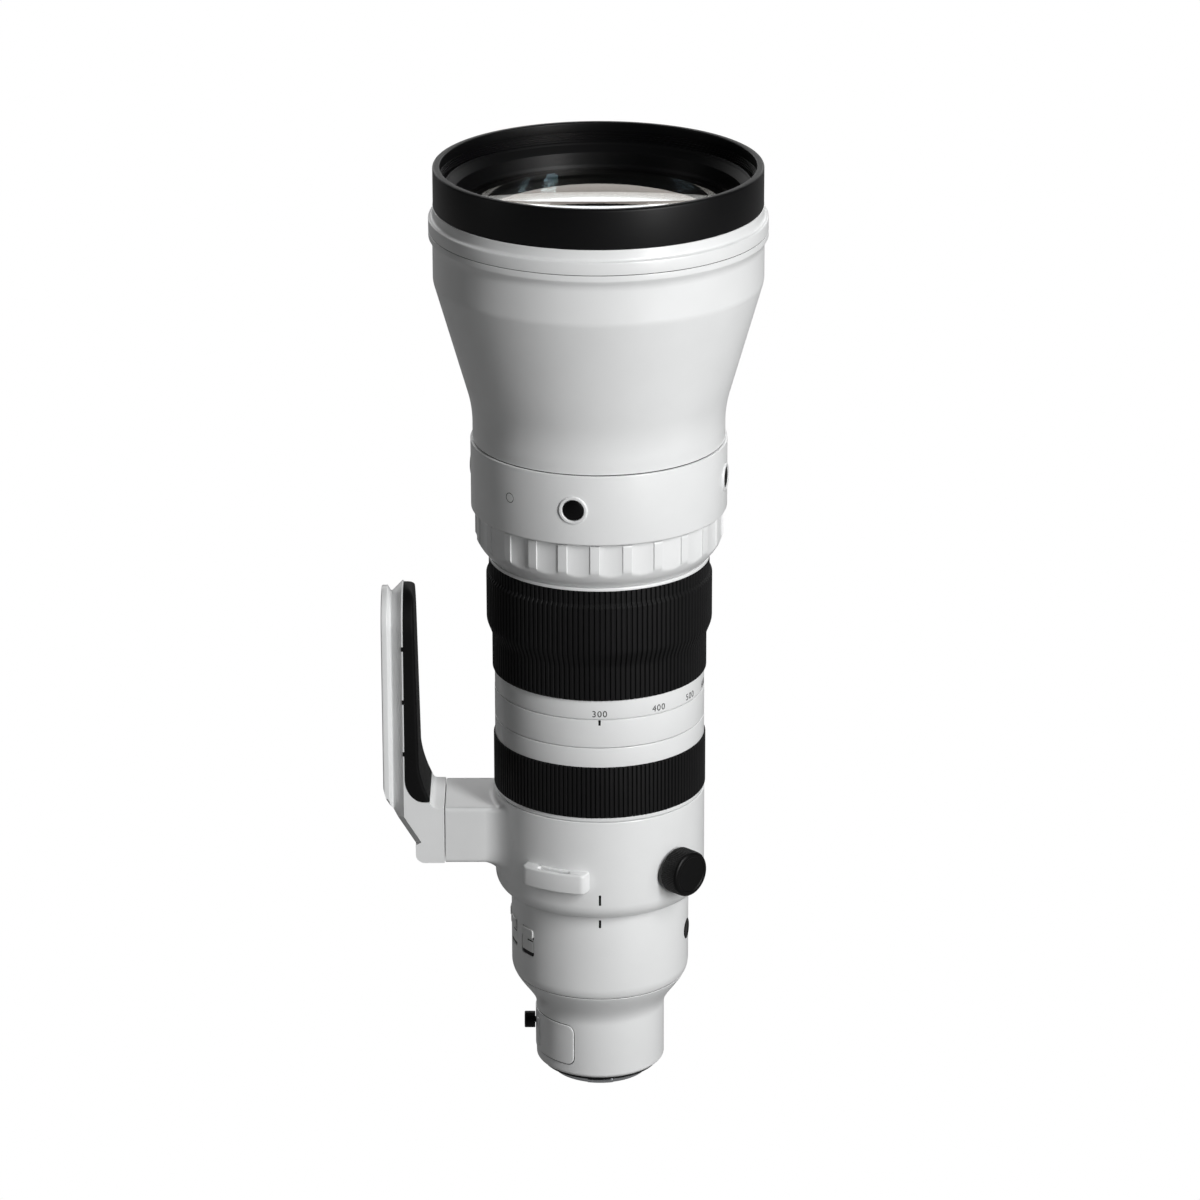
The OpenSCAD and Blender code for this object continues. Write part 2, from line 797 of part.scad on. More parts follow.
module side_plug() color(black) radial(plug_angle, plug_z) translate([0, 0, rear_barrel_r - plug_depth])
    revolve([
        [0, 0], [plug_r, 0], [plug_r, plug_depth], [plug_r - edge, plug_depth + plug_proud],
        [0, plug_depth + plug_proud]
    ]);

module rear_tube() color(white) difference() {
    spigot = barrel_bore - seat;
    revolve(concat(
        [[plate_r + seat, 0], [mount_end_r, 0]],
        wave([mount_end_r, 0], [rear_tube_r, tube_end_round], 1),
        [[rear_tube_r, cone_z0]], keep_below(cone_points, z_rear - line),
        [[split_r - line, z_rear], [spigot, z_rear], [spigot, z_rear + board_rim],
            [spigot - board_rim, z_rear + board_rim],
            [spigot - board_rim, z_rear], [rear_glass_r + seat, z_rear], [rear_glass_r + seat, rear_glass_z],
            [rear_glass_r - rear_ledge, rear_glass_z], [rear_glass_r - rear_ledge, chamber_z1],
            [chamber_r, chamber_z1], [chamber_r, chamber_z0], [flange_web_bore, chamber_z0],
            [flange_web_bore, plate_t], [plate_r + seat, plate_t]]
    ));
    sector_box(drawer_angle - drawer_span / 2 - drawer_play, drawer_angle + drawer_span / 2 + drawer_play,
        chamber_r - chamber_wall, rear_tube_r + chamber_wall, drawer_z0 - seam, drawer_z0 + drawer_h + seam);
    at_mount_screws() cylinder(r = mount_screw_r + seat, h = mount_screw_len);
}

module at_mount_screws() for (k = [0 : lug_count - 1]) rotate([0, 0, 45 + 360 / lug_count * k])
    translate([0, -mount_screw_place, 0]) children();

module mount_plate() color(steel) difference() {
    half = lug_w / 2 / lug_r * 180 / PI;
    tube_out = throat_r + bayonet_wall;
    union() {
        revolve([
            [throat_r, -bayonet_len], [tube_out - edge, -bayonet_len], [tube_out, edge - bayonet_len],
            [tube_out, 0], [plate_r, 0], [plate_r, plate_t], [throat_r, plate_t]
        ]);
        for (k = [0 : lug_count - 1]) sector_box(360 / lug_count * k - half, 360 / lug_count * k + half,
            tube_out - edge, lug_r, edge - bayonet_len, edge - bayonet_len + lug_t);
    }
    at_mount_screws() {
        translate([0, 0, -1]) cylinder(r = mount_screw_r + seat, h = plate_t + 2);
        translate([0, 0, -1]) cylinder(r = mount_screw_head_r + seat, h = mount_screw_head + 1);
    }
}

module mount_screws() color(steel) at_mount_screws() {
    translate([0, 0, seat]) cylinder(r = mount_screw_head_r, h = mount_screw_head - seat);
    translate([0, 0, mount_screw_head - edge])
        cylinder(r = mount_screw_r, h = mount_screw_len - mount_screw_head);
}

module mount_gasket() color(black) revolve([
    [plate_r + seat, 0], [plate_r + seat, -gasket_lip / 2], [plate_r + gasket_w / 2, -gasket_lip],
    [plate_r + gasket_w, -gasket_lip], [plate_r + gasket_w, 0]
]);

module contact_block() color(black) difference() {
    half = contact_span / 2;
    union() {
        sector_box(180 - half, 180 + half, contact_in, contact_out, -contact_back, chamber_z0);
        sector_box(180 - half, 180 + half, contact_out - edge, flange_web_bore - seat, plate_t + edge,
            chamber_z0);
    }
    at_contacts() cylinder(r = contact_r + seat, h = contact_deep);
}

module at_contacts() for (k = [0 : contact_count - 1])
    rotate([0, 0, 180 + contact_pitch * (k - (contact_count - 1) / 2)])
        translate([0, -(contact_in + contact_out) / 2, -contact_back]) children();

module contact_pins() color("#c9a24a") at_contacts() translate([0, 0, -contact_proud])
    cylinder(r = contact_r, h = contact_deep + contact_proud);

module rear_element() color(glass)
    lens(rear_glass_r, rear_glass_z, rear_glass_z + rear_glass_edge, rear_front_curve,
        -rear_back_curve);

module main_board() color("#1f5a3a") rotate_extrude() translate([board_bore, z_rear])
    square([barrel_bore - seat - board_rim - run - board_bore, board_t]);

module at_rods() for (a = rod_angles) rotate([0, 0, a]) translate([0, -rod_place, 0]) children();

module guide_rods() color(steel) at_rods() translate([0, 0, z_iris1 - rod_blind])
    cylinder(r = rod_r, h = z_web0 - z_iris1 + 2 * rod_blind);

module focus_motor() color("#3a3a40") for (a = motor_angles) rotate([0, 0, a])
    translate([-motor_size[0] / 2, -rod_place - motor_size[1] / 2, z_iris1])
        cube([motor_size[0], motor_size[1], z_web0 - z_iris1]);

module iris_housing() color(black) difference() {
    revolve([
        [iris_bore, z_iris0], [iris_r, z_iris0], [iris_r, z_iris1], [iris_bore, z_iris1],
        [iris_bore, z_iris1 - iris_wall], [blade_r + run, z_iris1 - iris_wall],
        [blade_r + run, z_iris0 + iris_wall], [iris_bore, z_iris0 + iris_wall]
    ]);
    at_rods() translate([0, 0, z_iris1 - rod_blind]) cylinder(r = rod_r + seat, h = rod_blind + 1);
}

module iris_blades() color("#2c2c30") for (k = [0 : blade_count - 1])
    translate([0, 0, z_iris0 + iris_wall + blade_gap + (blade_t + blade_gap) * k])
        rotate([0, 0, 360 / blade_count * k])
        linear_extrude(blade_t) difference() {
            circle(blade_r);
            translate([0, blade_shift]) circle(blade_cut_r);
        }

module zoom_ring() color(white) difference() {
    scale_r = ring_r - scale_step;
    revolve([
        [ring_bore, z_zoom0], [scale_r - line, z_zoom0], [scale_r, z_zoom0 + line], [scale_r, z_zoom_grip0],
        [seat_r, z_zoom_grip0], [seat_r, z_zoom_grip1], [grip_front_r, z_zoom_grip1],
        [grip_front_r, z_zoom1 - edge], [grip_front_r - edge, z_zoom1], [ring_bore, z_zoom1]
    ]);
    at_pins() cylinder(r = pin_r + seat, h = ring_r);
}

module at_pins() for (k = [0 : pin_count - 1]) radial(pin_angle + 360 / pin_count * k, pin_z) children();

module drive_pins() color(steel) at_pins() translate([0, 0, cam_bore + edge])
    cylinder(r = pin_r, h = seat_r - cam_bore - 2 * edge);

// A rubber sleeve whose ribs follow its outer profile
module ribbed_sleeve(outer, bore, count) {
    n = len(outer) - 1;
    pitch = 360 / count;
    valley = [for (p = outer) p - [rib_depth, 0]];
    crest = [for (i = [0 : n]) outer[i] + [0, i == 0 ? rib_inset : i == n ? -rib_inset : 0]];
    root = [for (i = [n : -1 : 0]) crest[i] - [rib_depth + rib_root, 0]];
    revolve(concat([[bore, outer[0][1]]], valley, [[bore, outer[n][1]]]));
    for (k = [0 : count - 1])
        sector(pitch * (k + groove_share / 2), pitch * (k + 1 - groove_share / 2))
            polygon(concat(crest, root));
}

module zoom_grip() color(black) ribbed_sleeve([
    [grip_rear_r, z_zoom_grip0], [grip_rear_r, z_zoom_grip0 + grip_taper0],
    [grip_bulge_r, z_zoom_grip0 + grip_taper1],
    [grip_bulge_r, z_zoom_grip1 - grip_front_w - grip_front_taper],
    [grip_front_r, z_zoom_grip1 - grip_front_w], [grip_front_r, z_zoom_grip1]
], seat_r + seat, zoom_ribs);

module focus_grip() color(black)
    ribbed_sleeve([[focus_grip_r, z_focus_grip0], [focus_grip_r, z_focus_grip1]], seat_r + seat, focus_ribs);

module focus_ring() color(white) revolve([
    [ring_bore, z_focus0], [ring_r - line, z_focus0], [ring_r, z_focus0 + line], [ring_r, z_focus_grip0],
    [seat_r, z_focus_grip0], [seat_r, z_focus_grip1], [ring_r, z_focus_grip1], [ring_r, z_focus1 - line],
    [ring_r - line, z_focus1], [ring_bore, z_focus1]
]);

// One set of cam slots: a slot climbs by travel while it goes round by the zoom turn
module cam_slots(z_start, travel) {
    w = roller_r + slot_clear;
    mid = (cam_r + cam_bore) / 2;
    rise = travel / zoom_turn;
    half = w / cos(atan(rise / mid * 180 / PI));
    over = w / mid * 180 / PI;
    corners = [[cam_bore - cam_wall, -half], [cam_r + cam_wall, -half], [cam_r + cam_wall, half],
        [cam_bore - cam_wall, half]];
    angles = [for (i = [0 : slot_steps]) -over + (zoom_turn + 2 * over) * i / slot_steps];
    points = [for (a = angles) for (c = corners) [c[0] * sin(a), -c[0] * cos(a), z_start + rise * a + c[1]]];
    last = 4 * slot_steps;
    sides = [for (i = [0 : slot_steps - 1]) for (j = [0 : 3])
        let (p = 4 * i + j, q = 4 * i + (j + 1) % 4) each [[p, q, p + 4], [q, q + 4, p + 4]]];
    ends = [[0, 2, 1], [0, 3, 2], [last, last + 1, last + 2], [last, last + 2, last + 3]];
    for (k = [0 : roller_count - 1]) rotate([0, 0, roller_angle + 360 / roller_count * k])
        polyhedron(points, concat(sides, ends));
}

module cam_barrel() color(steel) difference() {
    rotate_extrude() translate([cam_bore, z_cam0]) square([cam_wall, z_cam1 - z_cam0]);
    cam_slots(variator_z, -variator_travel);
    cam_slots(compensator_z, compensator_travel);
    at_pins() cylinder(r = pin_r + seat, h = ring_r);
}

module lens_group_cell(z, glass_r) {
    z0 = z - group_len / 2;
    revolve([
        [glass_r - glass_ledge, z0], [cell_outer, z0], [cell_outer, z0 + group_len],
        [glass_r + seat, z0 + group_len],
        [glass_r + seat, z0 + glass_ledge], [glass_r - glass_ledge, z0 + glass_ledge]
    ]);
    for (k = [0 : roller_count - 1]) radial(roller_angle + 360 / roller_count * k, z)
        translate([0, 0, cell_outer - edge]) cylinder(r = roller_r, h = roller_reach - cell_outer + edge);
}

module variator_cell() color(black) lens_group_cell(variator_z, variator_r);

module variator_lens() color(glass) {
    z0 = variator_z - group_len / 2 + glass_ledge;
    lens(variator_r, z0, z0 + group_glass_edge, -variator_curve, -variator_curve);
}

module compensator_cell() color(black) lens_group_cell(compensator_z, compensator_r);

module compensator_lens() color(glass) {
    z0 = compensator_z - group_len / 2 + glass_ledge;
    lens(compensator_r, z0, z0 + group_glass_edge, compensator_curve, -group_back);
}

module function_ring() color(white) difference() {
    z_skirt = z_func1 - func_skirt;
    reach = sqrt(func_r * func_r - flute_w * flute_w / 4)
        + sqrt(flute_cut_r * flute_cut_r - flute_w * flute_w / 4);
    bore = hub_r + run;
    revolve(concat(
        [[bore, z_func0], [func_neck_r, z_func0]],
        bow([func_neck_r, z_func0 + edge], [func_r, z_skirt], func_bow, 8),
        [[func_r, z_func1 - edge], [func_r - edge, z_func1], [func_r - func_shell, z_func1],
            [func_r - func_shell, z_skirt + func_floor], [bore + func_sleeve, z_skirt + func_floor],
            [bore + func_sleeve, z_func1], [bore, z_func1]]
    ));
    for (k = [0 : flutes - 1]) rotate([0, 0, flute_start + 360 / flutes * k])
        translate([0, -reach, z_func0 - 1])
        cylinder(r = flute_cut_r, h = func_len + 2);
}

module focus_cell() color(black) difference() {
    bore = focus_glass_r + seat;
    z1 = z_cellf0 + focus_len;
    revolve([
        [bore - glass_ledge, z_cellf0], [focus_r, z_cellf0], [focus_r, z_cellf0 + focus_rim],
        [bore + focus_rim, z_cellf0 + focus_rim], [bore + focus_rim, z1 - focus_rim],
        [focus_r, z1 - focus_rim],
        [focus_r, z1], [bore, z1], [bore, z_cellf0 + focus_rim], [bore - glass_ledge, z_cellf0 + focus_rim]
    ]);
    at_rods() translate([0, 0, z_cellf0 - 1]) cylinder(r = rod_r + run, h = focus_len + 2);
    for (a = motor_angles) rotate([0, 0, a])
        translate([-motor_size[0] / 2 - motor_room, -focus_r - 1, z_cellf0 - 1])
            cube([motor_size[0] + 2 * motor_room,
                focus_r + 1 - rod_place + motor_size[1] / 2 + motor_room, focus_len + 2]);
}

module focus_lens() color(glass)
    lens(focus_glass_r, z_cellf0 + focus_rim, z_cellf0 + focus_rim + focus_glass_edge, -focus_curve,
        -focus_curve);

z_stab = z_shelf + shelf_t + stab_gap;

module stabiliser_frame() color("#3a3a40") rotate_extrude() translate([stab_bore, z_stab])
    square([stab_frame_r - stab_bore, stab_h]);

module stabiliser_cell() color(black) {
    z_flange = z_stab + stab_h + stab_gap;
    bore = stab_glass_r + seat;
    revolve([
        [bore - glass_ledge, z_stab], [stab_cell_r, z_stab], [stab_cell_r, z_flange],
        [stab_flange_r, z_flange],
        [stab_flange_r, z_flange + stab_flange_t], [bore, z_flange + stab_flange_t],
        [bore, z_stab + glass_ledge],
        [bore - glass_ledge, z_stab + glass_ledge]
    ]);
}

module stabiliser_lens() color(glass)
    lens(stab_glass_r, z_stab + glass_ledge, z_stab + glass_ledge + stab_glass_edge, stab_curve,
        -group_back);

module at_foot_screws(x) for (y = [-screw_y, screw_y]) translate([x, y, arm_z0 + screw_rise])
    rotate([0, 90, 0])
    children();

module collar() color(white) difference() {
    inside = collar_bore + 2;
    top_x = -collar_r + edge - arm_fillet_top;
    low_x = -collar_r + edge - arm_fillet_low;
    union() {
        revolve(concat(
            [[collar_bore, z_collar0]],
            [for (i = [0 : 12]) [collar_edge_r + (collar_r - collar_edge_r) * sin(7.5 * i),
                z_collar0 + collar_round_z * (1 - cos(7.5 * i))]],
            [[collar_r, z_collar1 - edge], [collar_r - edge, z_collar1], [collar_bore, z_collar1]]
        ));
        side_plate(concat(
            [[-seam_x, arm_z0 + arm_edge], [-seam_x, arm_z1 - arm_edge], [-seam_x + arm_edge, arm_z1]],
            arc([top_x, arm_z1 + arm_fillet_top], arm_fillet_top, 270, 360, 5),
            [[-inside, arm_z1 + arm_fillet_top], [-inside, arm_z0 - arm_fillet_low]],
            arc([low_x, arm_z0 - arm_fillet_low], arm_fillet_low, 0, 90, 8),
            [[-seam_x + arm_edge, arm_z0]]
        ), foot_w);
        radial(knob_angle, knob_z) translate([0, 0, inside])
            cylinder(r = knob_boss_r, h = collar_r + knob_boss - inside);
    }
    radial(knob_angle, knob_z) translate([0, 0, collar_bore - 2]) {
        cylinder(r = stem_r + run, h = collar_r);
        cylinder(r = shoe_r + run, h = 2 + shoe_t + clamp_travel + run);
    }
    at_foot_screws(-seam_x - 1) cylinder(r = screw_r + seat, h = screw_grip + 2);
}

module clamp_shoe() color(black) difference() {
    radial(knob_angle, knob_z) translate([0, 0, tail_r - 2]) cylinder(r = shoe_r, h = 2 + run + shoe_t);
    translate([0, 0, knob_z - 2 * shoe_r]) cylinder(r = tail_r + run, h = 4 * shoe_r);
}

module clamp_knob() color(black) radial(knob_angle, knob_z) {
    z0 = collar_r + knob_boss + run;
    stem_end = collar_bore + shoe_t + clamp_travel + run;
    revolve(concat(
        [[0, stem_end], [stem_r, stem_end], [stem_r, z0], [knob_r - edge, z0], [knob_r, z0 + edge]],
        arc([knob_r - knob_round, z0 + knob_h - knob_round], knob_round, 0, 90, 6),
        [[0, z0 + knob_h]]
    ));
}

module strap_lugs() color(white) for (a = [lug_angle, -180 - lug_angle]) {
    r1 = collar_r + strap_reach;
    half = asin((strap_span / 2 - strap_round) / (r1 - strap_round));
    slot = strap_slot[0] / 2 / collar_r * 180 / PI;
    side = strap_span / 2;
    difference() {
        rotate([0, 0, a]) translate([0, 0, strap_z]) linear_extrude(strap_h) polygon(concat(
            [[-side, -collar_bore]],
            arc((r1 - strap_round) * [-sin(half), -cos(half)], strap_round, 180, 270 - half, 5),
            arc([0, 0], r1, 270 - half, 270 + half, 14),
            arc((r1 - strap_round) * [sin(half), -cos(half)], strap_round, 270 + half, 360, 5),
            [[side, -collar_bore]]
        ));
        translate([0, 0, strap_z - 1]) cylinder(r = collar_r + seat, h = strap_h + 2);
        sector_box(a - slot, a + slot, collar_r + strap_slot_from, collar_r + strap_slot_from + strap_slot[1],
            strap_z - 1, strap_z + strap_h + 1);
    }
}

// Inner side of the foot: a quarter ellipse from the upright bar to the pad's ledge
foot_inner = [for (i = [0 : 8]) [foot_curve[0] * (1 - cos(11.25 * i)) - foot_curve_x,
    ledge_z + foot_curve[1] * (1 - sin(11.25 * i))]];

// Half of the dovetail section: distance from the outer face and half width
foot_side = [[0, rail_half - rail_edge], [rail_edge, rail_half], [rail_lip, rail_half],
    [groove_x, rail_half - groove_depth], [body_x, foot_w / 2], [foot_depth, foot_w / 2]];

// The dovetail section along the bar, and turned around the bar's rounded top
module dovetail_bar() {
    z_low = arm_z0 - 1;
    translate([-foot_out, 0, z_low]) linear_extrude(z_turn - z_low) polygon(concat(
        foot_side, [for (i = [len(foot_side) - 1 : -1 : 0]) [foot_side[i][0], -foot_side[i][1]]]
    ));
    translate([-foot_out, 0, z_turn]) rotate([90, 0, 90]) rotate_extrude(angle = 180)
        polygon(concat([[0, 0]], [for (p = foot_side) [p[1], p[0]]], [[0, foot_depth]]));
}

module foot() color(white) difference() {
    face_x = -seam_x - foot_gap;
    block_x = face_x - heel_block;
    intersection() {
        side_plate(concat(
            [[heel_tip[0] - foot_out, arm_z0 + heel_tip[1]], [-foot_out, arm_z0 + heel_z]],
            arc([foot_round - foot_out, foot_top + 1 - foot_round], foot_round, 180, 90, 5),
            [[foot_top_t - foot_out, foot_top + 1]],
            foot_inner,
            [[face_x - ledge_in, ledge_z], [face_x - ledge_out, arm_z1],
                [face_x - arm_edge, arm_z1], [face_x, arm_z1 - arm_edge], [face_x, arm_z0 + arm_edge],
                [face_x - arm_edge, arm_z0]],
            arc([block_x + heel_round, arm_z0 + heel_round], heel_round, 270, 180, 6),
            [[block_x, arm_z0 + heel_rise]]
        ), 2 * foot_w);
        dovetail_bar();
    }
    at_foot_screws(face_x - screw_wall) {
        cylinder(r = screw_r + seat, h = screw_wall + 1);
        translate([0, 0, -foot_out]) cylinder(r = screw_head_r + seat, h = foot_out);
    }
    for (i = [0, 1]) translate([-foot_out - 1, 0, foot_top + tripod_hole_z[i]]) rotate([0, 90, 0])
        cylinder(r = tripod_hole_r[i], h = tripod_hole_depth + 1);
}

module foot_screws() color(steel) at_foot_screws(-seam_x - foot_gap - screw_wall) {
    cylinder(r = screw_r, h = screw_wall + screw_grip);
    difference() {
        translate([0, 0, -screw_head_h]) cylinder(r = screw_head_r, h = screw_head_h);
        translate([0, 0, -screw_head_h - 1]) cylinder(r = screw_key_r, h = screw_head_h / 2 + 1, $fn = 6);
    }
}

module foot_pad() color(black) intersection() {
    top_x = foot_top_t - foot_out;
    tip_x = -seam_x - foot_gap - ledge_in - pad_tip_in;
    bend = [pad_low_t - foot_curve_x, ledge_z + pad_bend];
    side_plate(concat(
        [[top_x + seat, foot_top]], [for (p = foot_inner) p + [seat, seat]],
        [[tip_x, ledge_z + seat]], bow([tip_x, ledge_z + pad_tip_t], bend, pad_bow, 6),
        [[top_x + pad_t, foot_top]]
    ), foot_w);
    translate([-foot_out, 0, 0]) rotate([90, 0, 90]) linear_extrude(foot_out) polygon(concat(
        [[-pad_w / 2, arm_z0], [pad_w / 2, arm_z0]], arc([0, z_turn], pad_w / 2, 0, 180, 32)
    ));
}

module filter_drawer() color(white) difference() {
    half = drawer_span / 2;
    panel_r = rear_tube_r + drawer_proud;
    union() {
        sector_box(drawer_angle - half, drawer_angle + half, chamber_r + run, panel_r, drawer_z0,
            drawer_z0 + drawer_h);
        translate([0, 0, holder_z0]) cylinder(r = holder_r, h = holder_h);
        intersection() {
            translate([-panel_r, -holder_neck / 2, holder_z0]) cube([panel_r, holder_neck, holder_h]);
            translate([0, 0, holder_z0 - 1]) cylinder(r = chamber_r + 2 * run, h = holder_h + 2);
        }
    }
    translate([0, 0, holder_z0 - 1]) cylinder(r = filter_r - filter_ledge, h = holder_h + 2);
    translate([0, 0, holder_z0 + filter_ledge]) cylinder(r = filter_r + seat, h = holder_h);
    radial(drawer_angle, drawer_knob_z) translate([0, 0, chamber_r - drawer_stem_len])
        cylinder(r = drawer_stem_r + run, h = 2 * drawer_stem_len + chamber_wall);
}

module filter_glass() color(glass) translate([0, 0, holder_z0 + filter_ledge])
    cylinder(r = filter_r, h = filter_t);

module filter_knob() color(black) radial(drawer_angle, drawer_knob_z) {
    z0 = rear_tube_r + drawer_proud + run;
    stem_end = chamber_r - drawer_stem_len + run;
    revolve([
        [0, stem_end], [drawer_stem_r, stem_end], [drawer_stem_r, z0], [drawer_knob_r - edge, z0],
        [drawer_knob_r, z0 + edge], [drawer_knob_r, z0 + drawer_knob_len - edge],
        [drawer_knob_r - edge, z0 + drawer_knob_len], [0, z0 + drawer_knob_len]
    ]);
}

front_ring();
hood_flange_ring();
front_barrel();
front_cell();
front_baffle();
front_element();
second_element();
control_band();
button_bezels();
main_tube();
index_barrel();
rear_barrel();
rear_tube();
mount_plate();
mount_gasket();
mount_screws();
contact_block();
contact_pins();
rear_element();
main_board();
guide_rods();
focus_motor();
iris_housing();
iris_blades();
side_plug();
zoom_ring();
zoom_grip();
cam_barrel();
drive_pins();
variator_cell();
variator_lens();
compensator_cell();
compensator_lens();
function_ring();
focus_ring();
focus_grip();
focus_cell();
focus_lens();
stabiliser_frame();
stabiliser_cell();
stabiliser_lens();
collar();
strap_lugs();
foot();
foot_pad();
foot_screws();
clamp_knob();
clamp_shoe();
hold_button(1);  // hold_button_1
hold_button(2);  // hold_button_2
hold_button(3);  // hold_button_3
hold_button(4);  // hold_button_4
switch_slider(1);  // switch_slider_1
switch_slider(2);  // switch_slider_2
switch_slider(3);  // switch_slider_3
switch_slider(4);  // switch_slider_4
filter_drawer();
filter_glass();
filter_knob();
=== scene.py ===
"""Looks of a white telephoto zoom lens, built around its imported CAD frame.

Lengths in this script are millimetres and angles are degrees; Workshop.blank turns millimetres
into metres. The optical axis is Z and the mount flange lies at Z = 0. Angles around the axis count
from -Y, positive towards +X, as they do in the part's source.
"""

import json
import logging
import math
from dataclasses import dataclass, field
from enum import Enum
from typing import Any, Sequence

import bmesh
import bpy
import numpy as np
from mathutils import Matrix, Vector


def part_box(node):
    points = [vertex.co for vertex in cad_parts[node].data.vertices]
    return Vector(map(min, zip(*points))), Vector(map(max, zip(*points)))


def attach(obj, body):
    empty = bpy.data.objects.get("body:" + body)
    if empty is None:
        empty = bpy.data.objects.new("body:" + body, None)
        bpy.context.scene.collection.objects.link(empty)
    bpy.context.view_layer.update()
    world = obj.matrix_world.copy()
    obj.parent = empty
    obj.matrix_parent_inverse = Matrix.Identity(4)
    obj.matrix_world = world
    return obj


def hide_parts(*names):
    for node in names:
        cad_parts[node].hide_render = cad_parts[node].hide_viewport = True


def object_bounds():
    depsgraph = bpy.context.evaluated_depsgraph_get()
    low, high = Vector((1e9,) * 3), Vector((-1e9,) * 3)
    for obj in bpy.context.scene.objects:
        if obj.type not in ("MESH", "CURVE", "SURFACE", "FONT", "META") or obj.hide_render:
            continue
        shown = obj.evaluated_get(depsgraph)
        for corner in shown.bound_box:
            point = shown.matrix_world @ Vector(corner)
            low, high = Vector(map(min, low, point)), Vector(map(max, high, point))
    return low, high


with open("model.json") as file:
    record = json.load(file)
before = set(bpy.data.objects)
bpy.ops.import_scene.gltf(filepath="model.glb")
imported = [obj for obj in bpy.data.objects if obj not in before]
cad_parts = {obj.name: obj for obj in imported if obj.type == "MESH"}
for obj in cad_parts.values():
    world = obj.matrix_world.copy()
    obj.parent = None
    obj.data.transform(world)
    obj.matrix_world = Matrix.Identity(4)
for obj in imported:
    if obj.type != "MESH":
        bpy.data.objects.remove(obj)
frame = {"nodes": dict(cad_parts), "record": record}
CAD_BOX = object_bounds()
LOG = logging.getLogger("zoom_lens")
MM = 0.001
SEGMENTS = 240
SMALL_SEGMENTS = 96
ROUND_STEPS = 5
CREASE = 32.0
Corner = tuple[float, float, float]


class Slot(str, Enum):
    """The record's material slots."""

    WHITE_METAL = "white_metal"
    WHITE_PLASTIC = "white_plastic"
    BLACK_METAL = "black_metal"
    BLACK_PLASTIC = "black_plastic"
    BLACK_RUBBER = "black_rubber"
    INNER_METAL = "inner_metal"
    STEEL = "steel"
    MOUNT_CHROME = "mount_chrome"
    CONTACT_GOLD = "contact_gold"
    BOARD_GREEN = "board_green"
    COATED_GLASS = "coated_glass"


# Shapes


@dataclass
class Patch:
    """A stretch of surface.

    Args:
        points: Places of its points, one row each, in millimetres.
        faces: Point numbers of each face, counter-clockwise seen from outside.
    """

    points: np.ndarray
    faces: list[list[int]]

    def __add__(self, other: "Patch") -> "Patch":
        """Both patches as one.

        Args:
            other: The other patch.

        Returns:
            The joint patch.
        """
        first = len(self.points)
        shifted = [[i + first for i in face] for face in other.faces]
        return Patch(np.vstack([self.points, other.points]), self.faces + shifted)

    def placed(self, matrix: np.ndarray) -> "Patch":
        """The patch carried by a 4 x 4 matrix."""
        return Patch(self.points @ matrix[:3, :3].T + matrix[:3, 3], self.faces)

    def wrapped(self, radius: float, angle: float, z: float) -> "Patch":
        """The patch bent round the axis.

        A flat point (x, y, h) goes to the angle x / radius from the given one, the height z + y
        and the distance radius + h from the axis.

        Args:
            radius: Radius at which lengths along x are kept.
            angle: Angle of x = 0.
            z: Height of y = 0.

        Returns:
            The bent patch.
        """
        x, y, h = self.points.T
        a = np.radians(angle) + x / radius
        r = radius + h
        return Patch(np.stack([r * np.sin(a), -r * np.cos(a), z + y], axis=1), self.faces)


@dataclass(frozen=True)
class Span:
    """The axial reach and the outer radius of a CAD node round the optical axis."""

    z0: float
    z1: float
    r: float

    @classmethod
    def of(cls, node: str) -> "Span":
        """The span of one CAD node, from its box."""
        low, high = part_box(node)
        return cls(low.z / MM, high.z / MM, high.x / MM)


def radial(angle: float, z: float) -> np.ndarray:
    """The matrix that stands a shape's own Z out from the axis at an angle and height.

    Args:
        angle: Angle round the optical axis.
        z: Height on it.

    Returns:
        The 4 x 4 matrix.
    """
    turn = Matrix.Rotation(math.radians(angle), 4, "Z")
    stand = Matrix.Rotation(math.radians(90), 4, "X")
    return np.array(turn @ Matrix.Translation((0, 0, z)) @ stand)


def grid(points: np.ndarray, wrap_u: bool, wrap_v: bool) -> Patch:
    """Joins a grid of points with quads that face along u x v.

    Args:
        points: Array of shape (u, v, 3).
        wrap_u: Whether the last row joins the first.
        wrap_v: Whether the last column joins the first.

    Returns:
        The surface.
    """
    number = np.arange(points.shape[0] * points.shape[1]).reshape(points.shape[:2])
    number = np.vstack([number, number[:1]]) if wrap_u else number
    number = np.hstack([number, number[:, :1]]) if wrap_v else number
    corners = [number[:-1, :-1], number[1:, :-1], number[1:, 1:], number[:-1, 1:]]
    return Patch(points.reshape(-1, 3), np.stack(corners, axis=-1).reshape(-1, 4).tolist())


def capped(points: np.ndarray) -> Patch:
    """A tube from a grid of points that closes along u, with a flat face at both ends of v.

    Args:
        points: Array of shape (u, v, 3).

    Returns:
        The closed tube.
    """
    skin, (count, rows) = grid(points, True, False), points.shape[:2]
    ring = np.arange(count) * rows
    return Patch(skin.points, skin.faces + [ring[::-1].tolist(), (ring + rows - 1).tolist()])


def joined(patches: Sequence[Patch]) -> Patch:
    """Several patches as one."""
    return sum(patches[1:], patches[0])


def around(angles: np.ndarray, r: np.ndarray, z: np.ndarray) -> np.ndarray:
    """Points at radius r and height z for each angle, as a grid of angles by profile points.

    Args:
        angles: Angles round the axis.
        r: Radii of the profile's points, or a row of them for each angle.
        z: Heights of the profile's points.

    Returns:
        Array of shape (angles, profile points, 3).
    """
    a = np.radians(angles)[:, None]
    r, z = np.broadcast_arrays(r + 0 * a, z + 0 * a)
    return np.stack([r * np.sin(a), -r * np.cos(a), z], axis=-1)


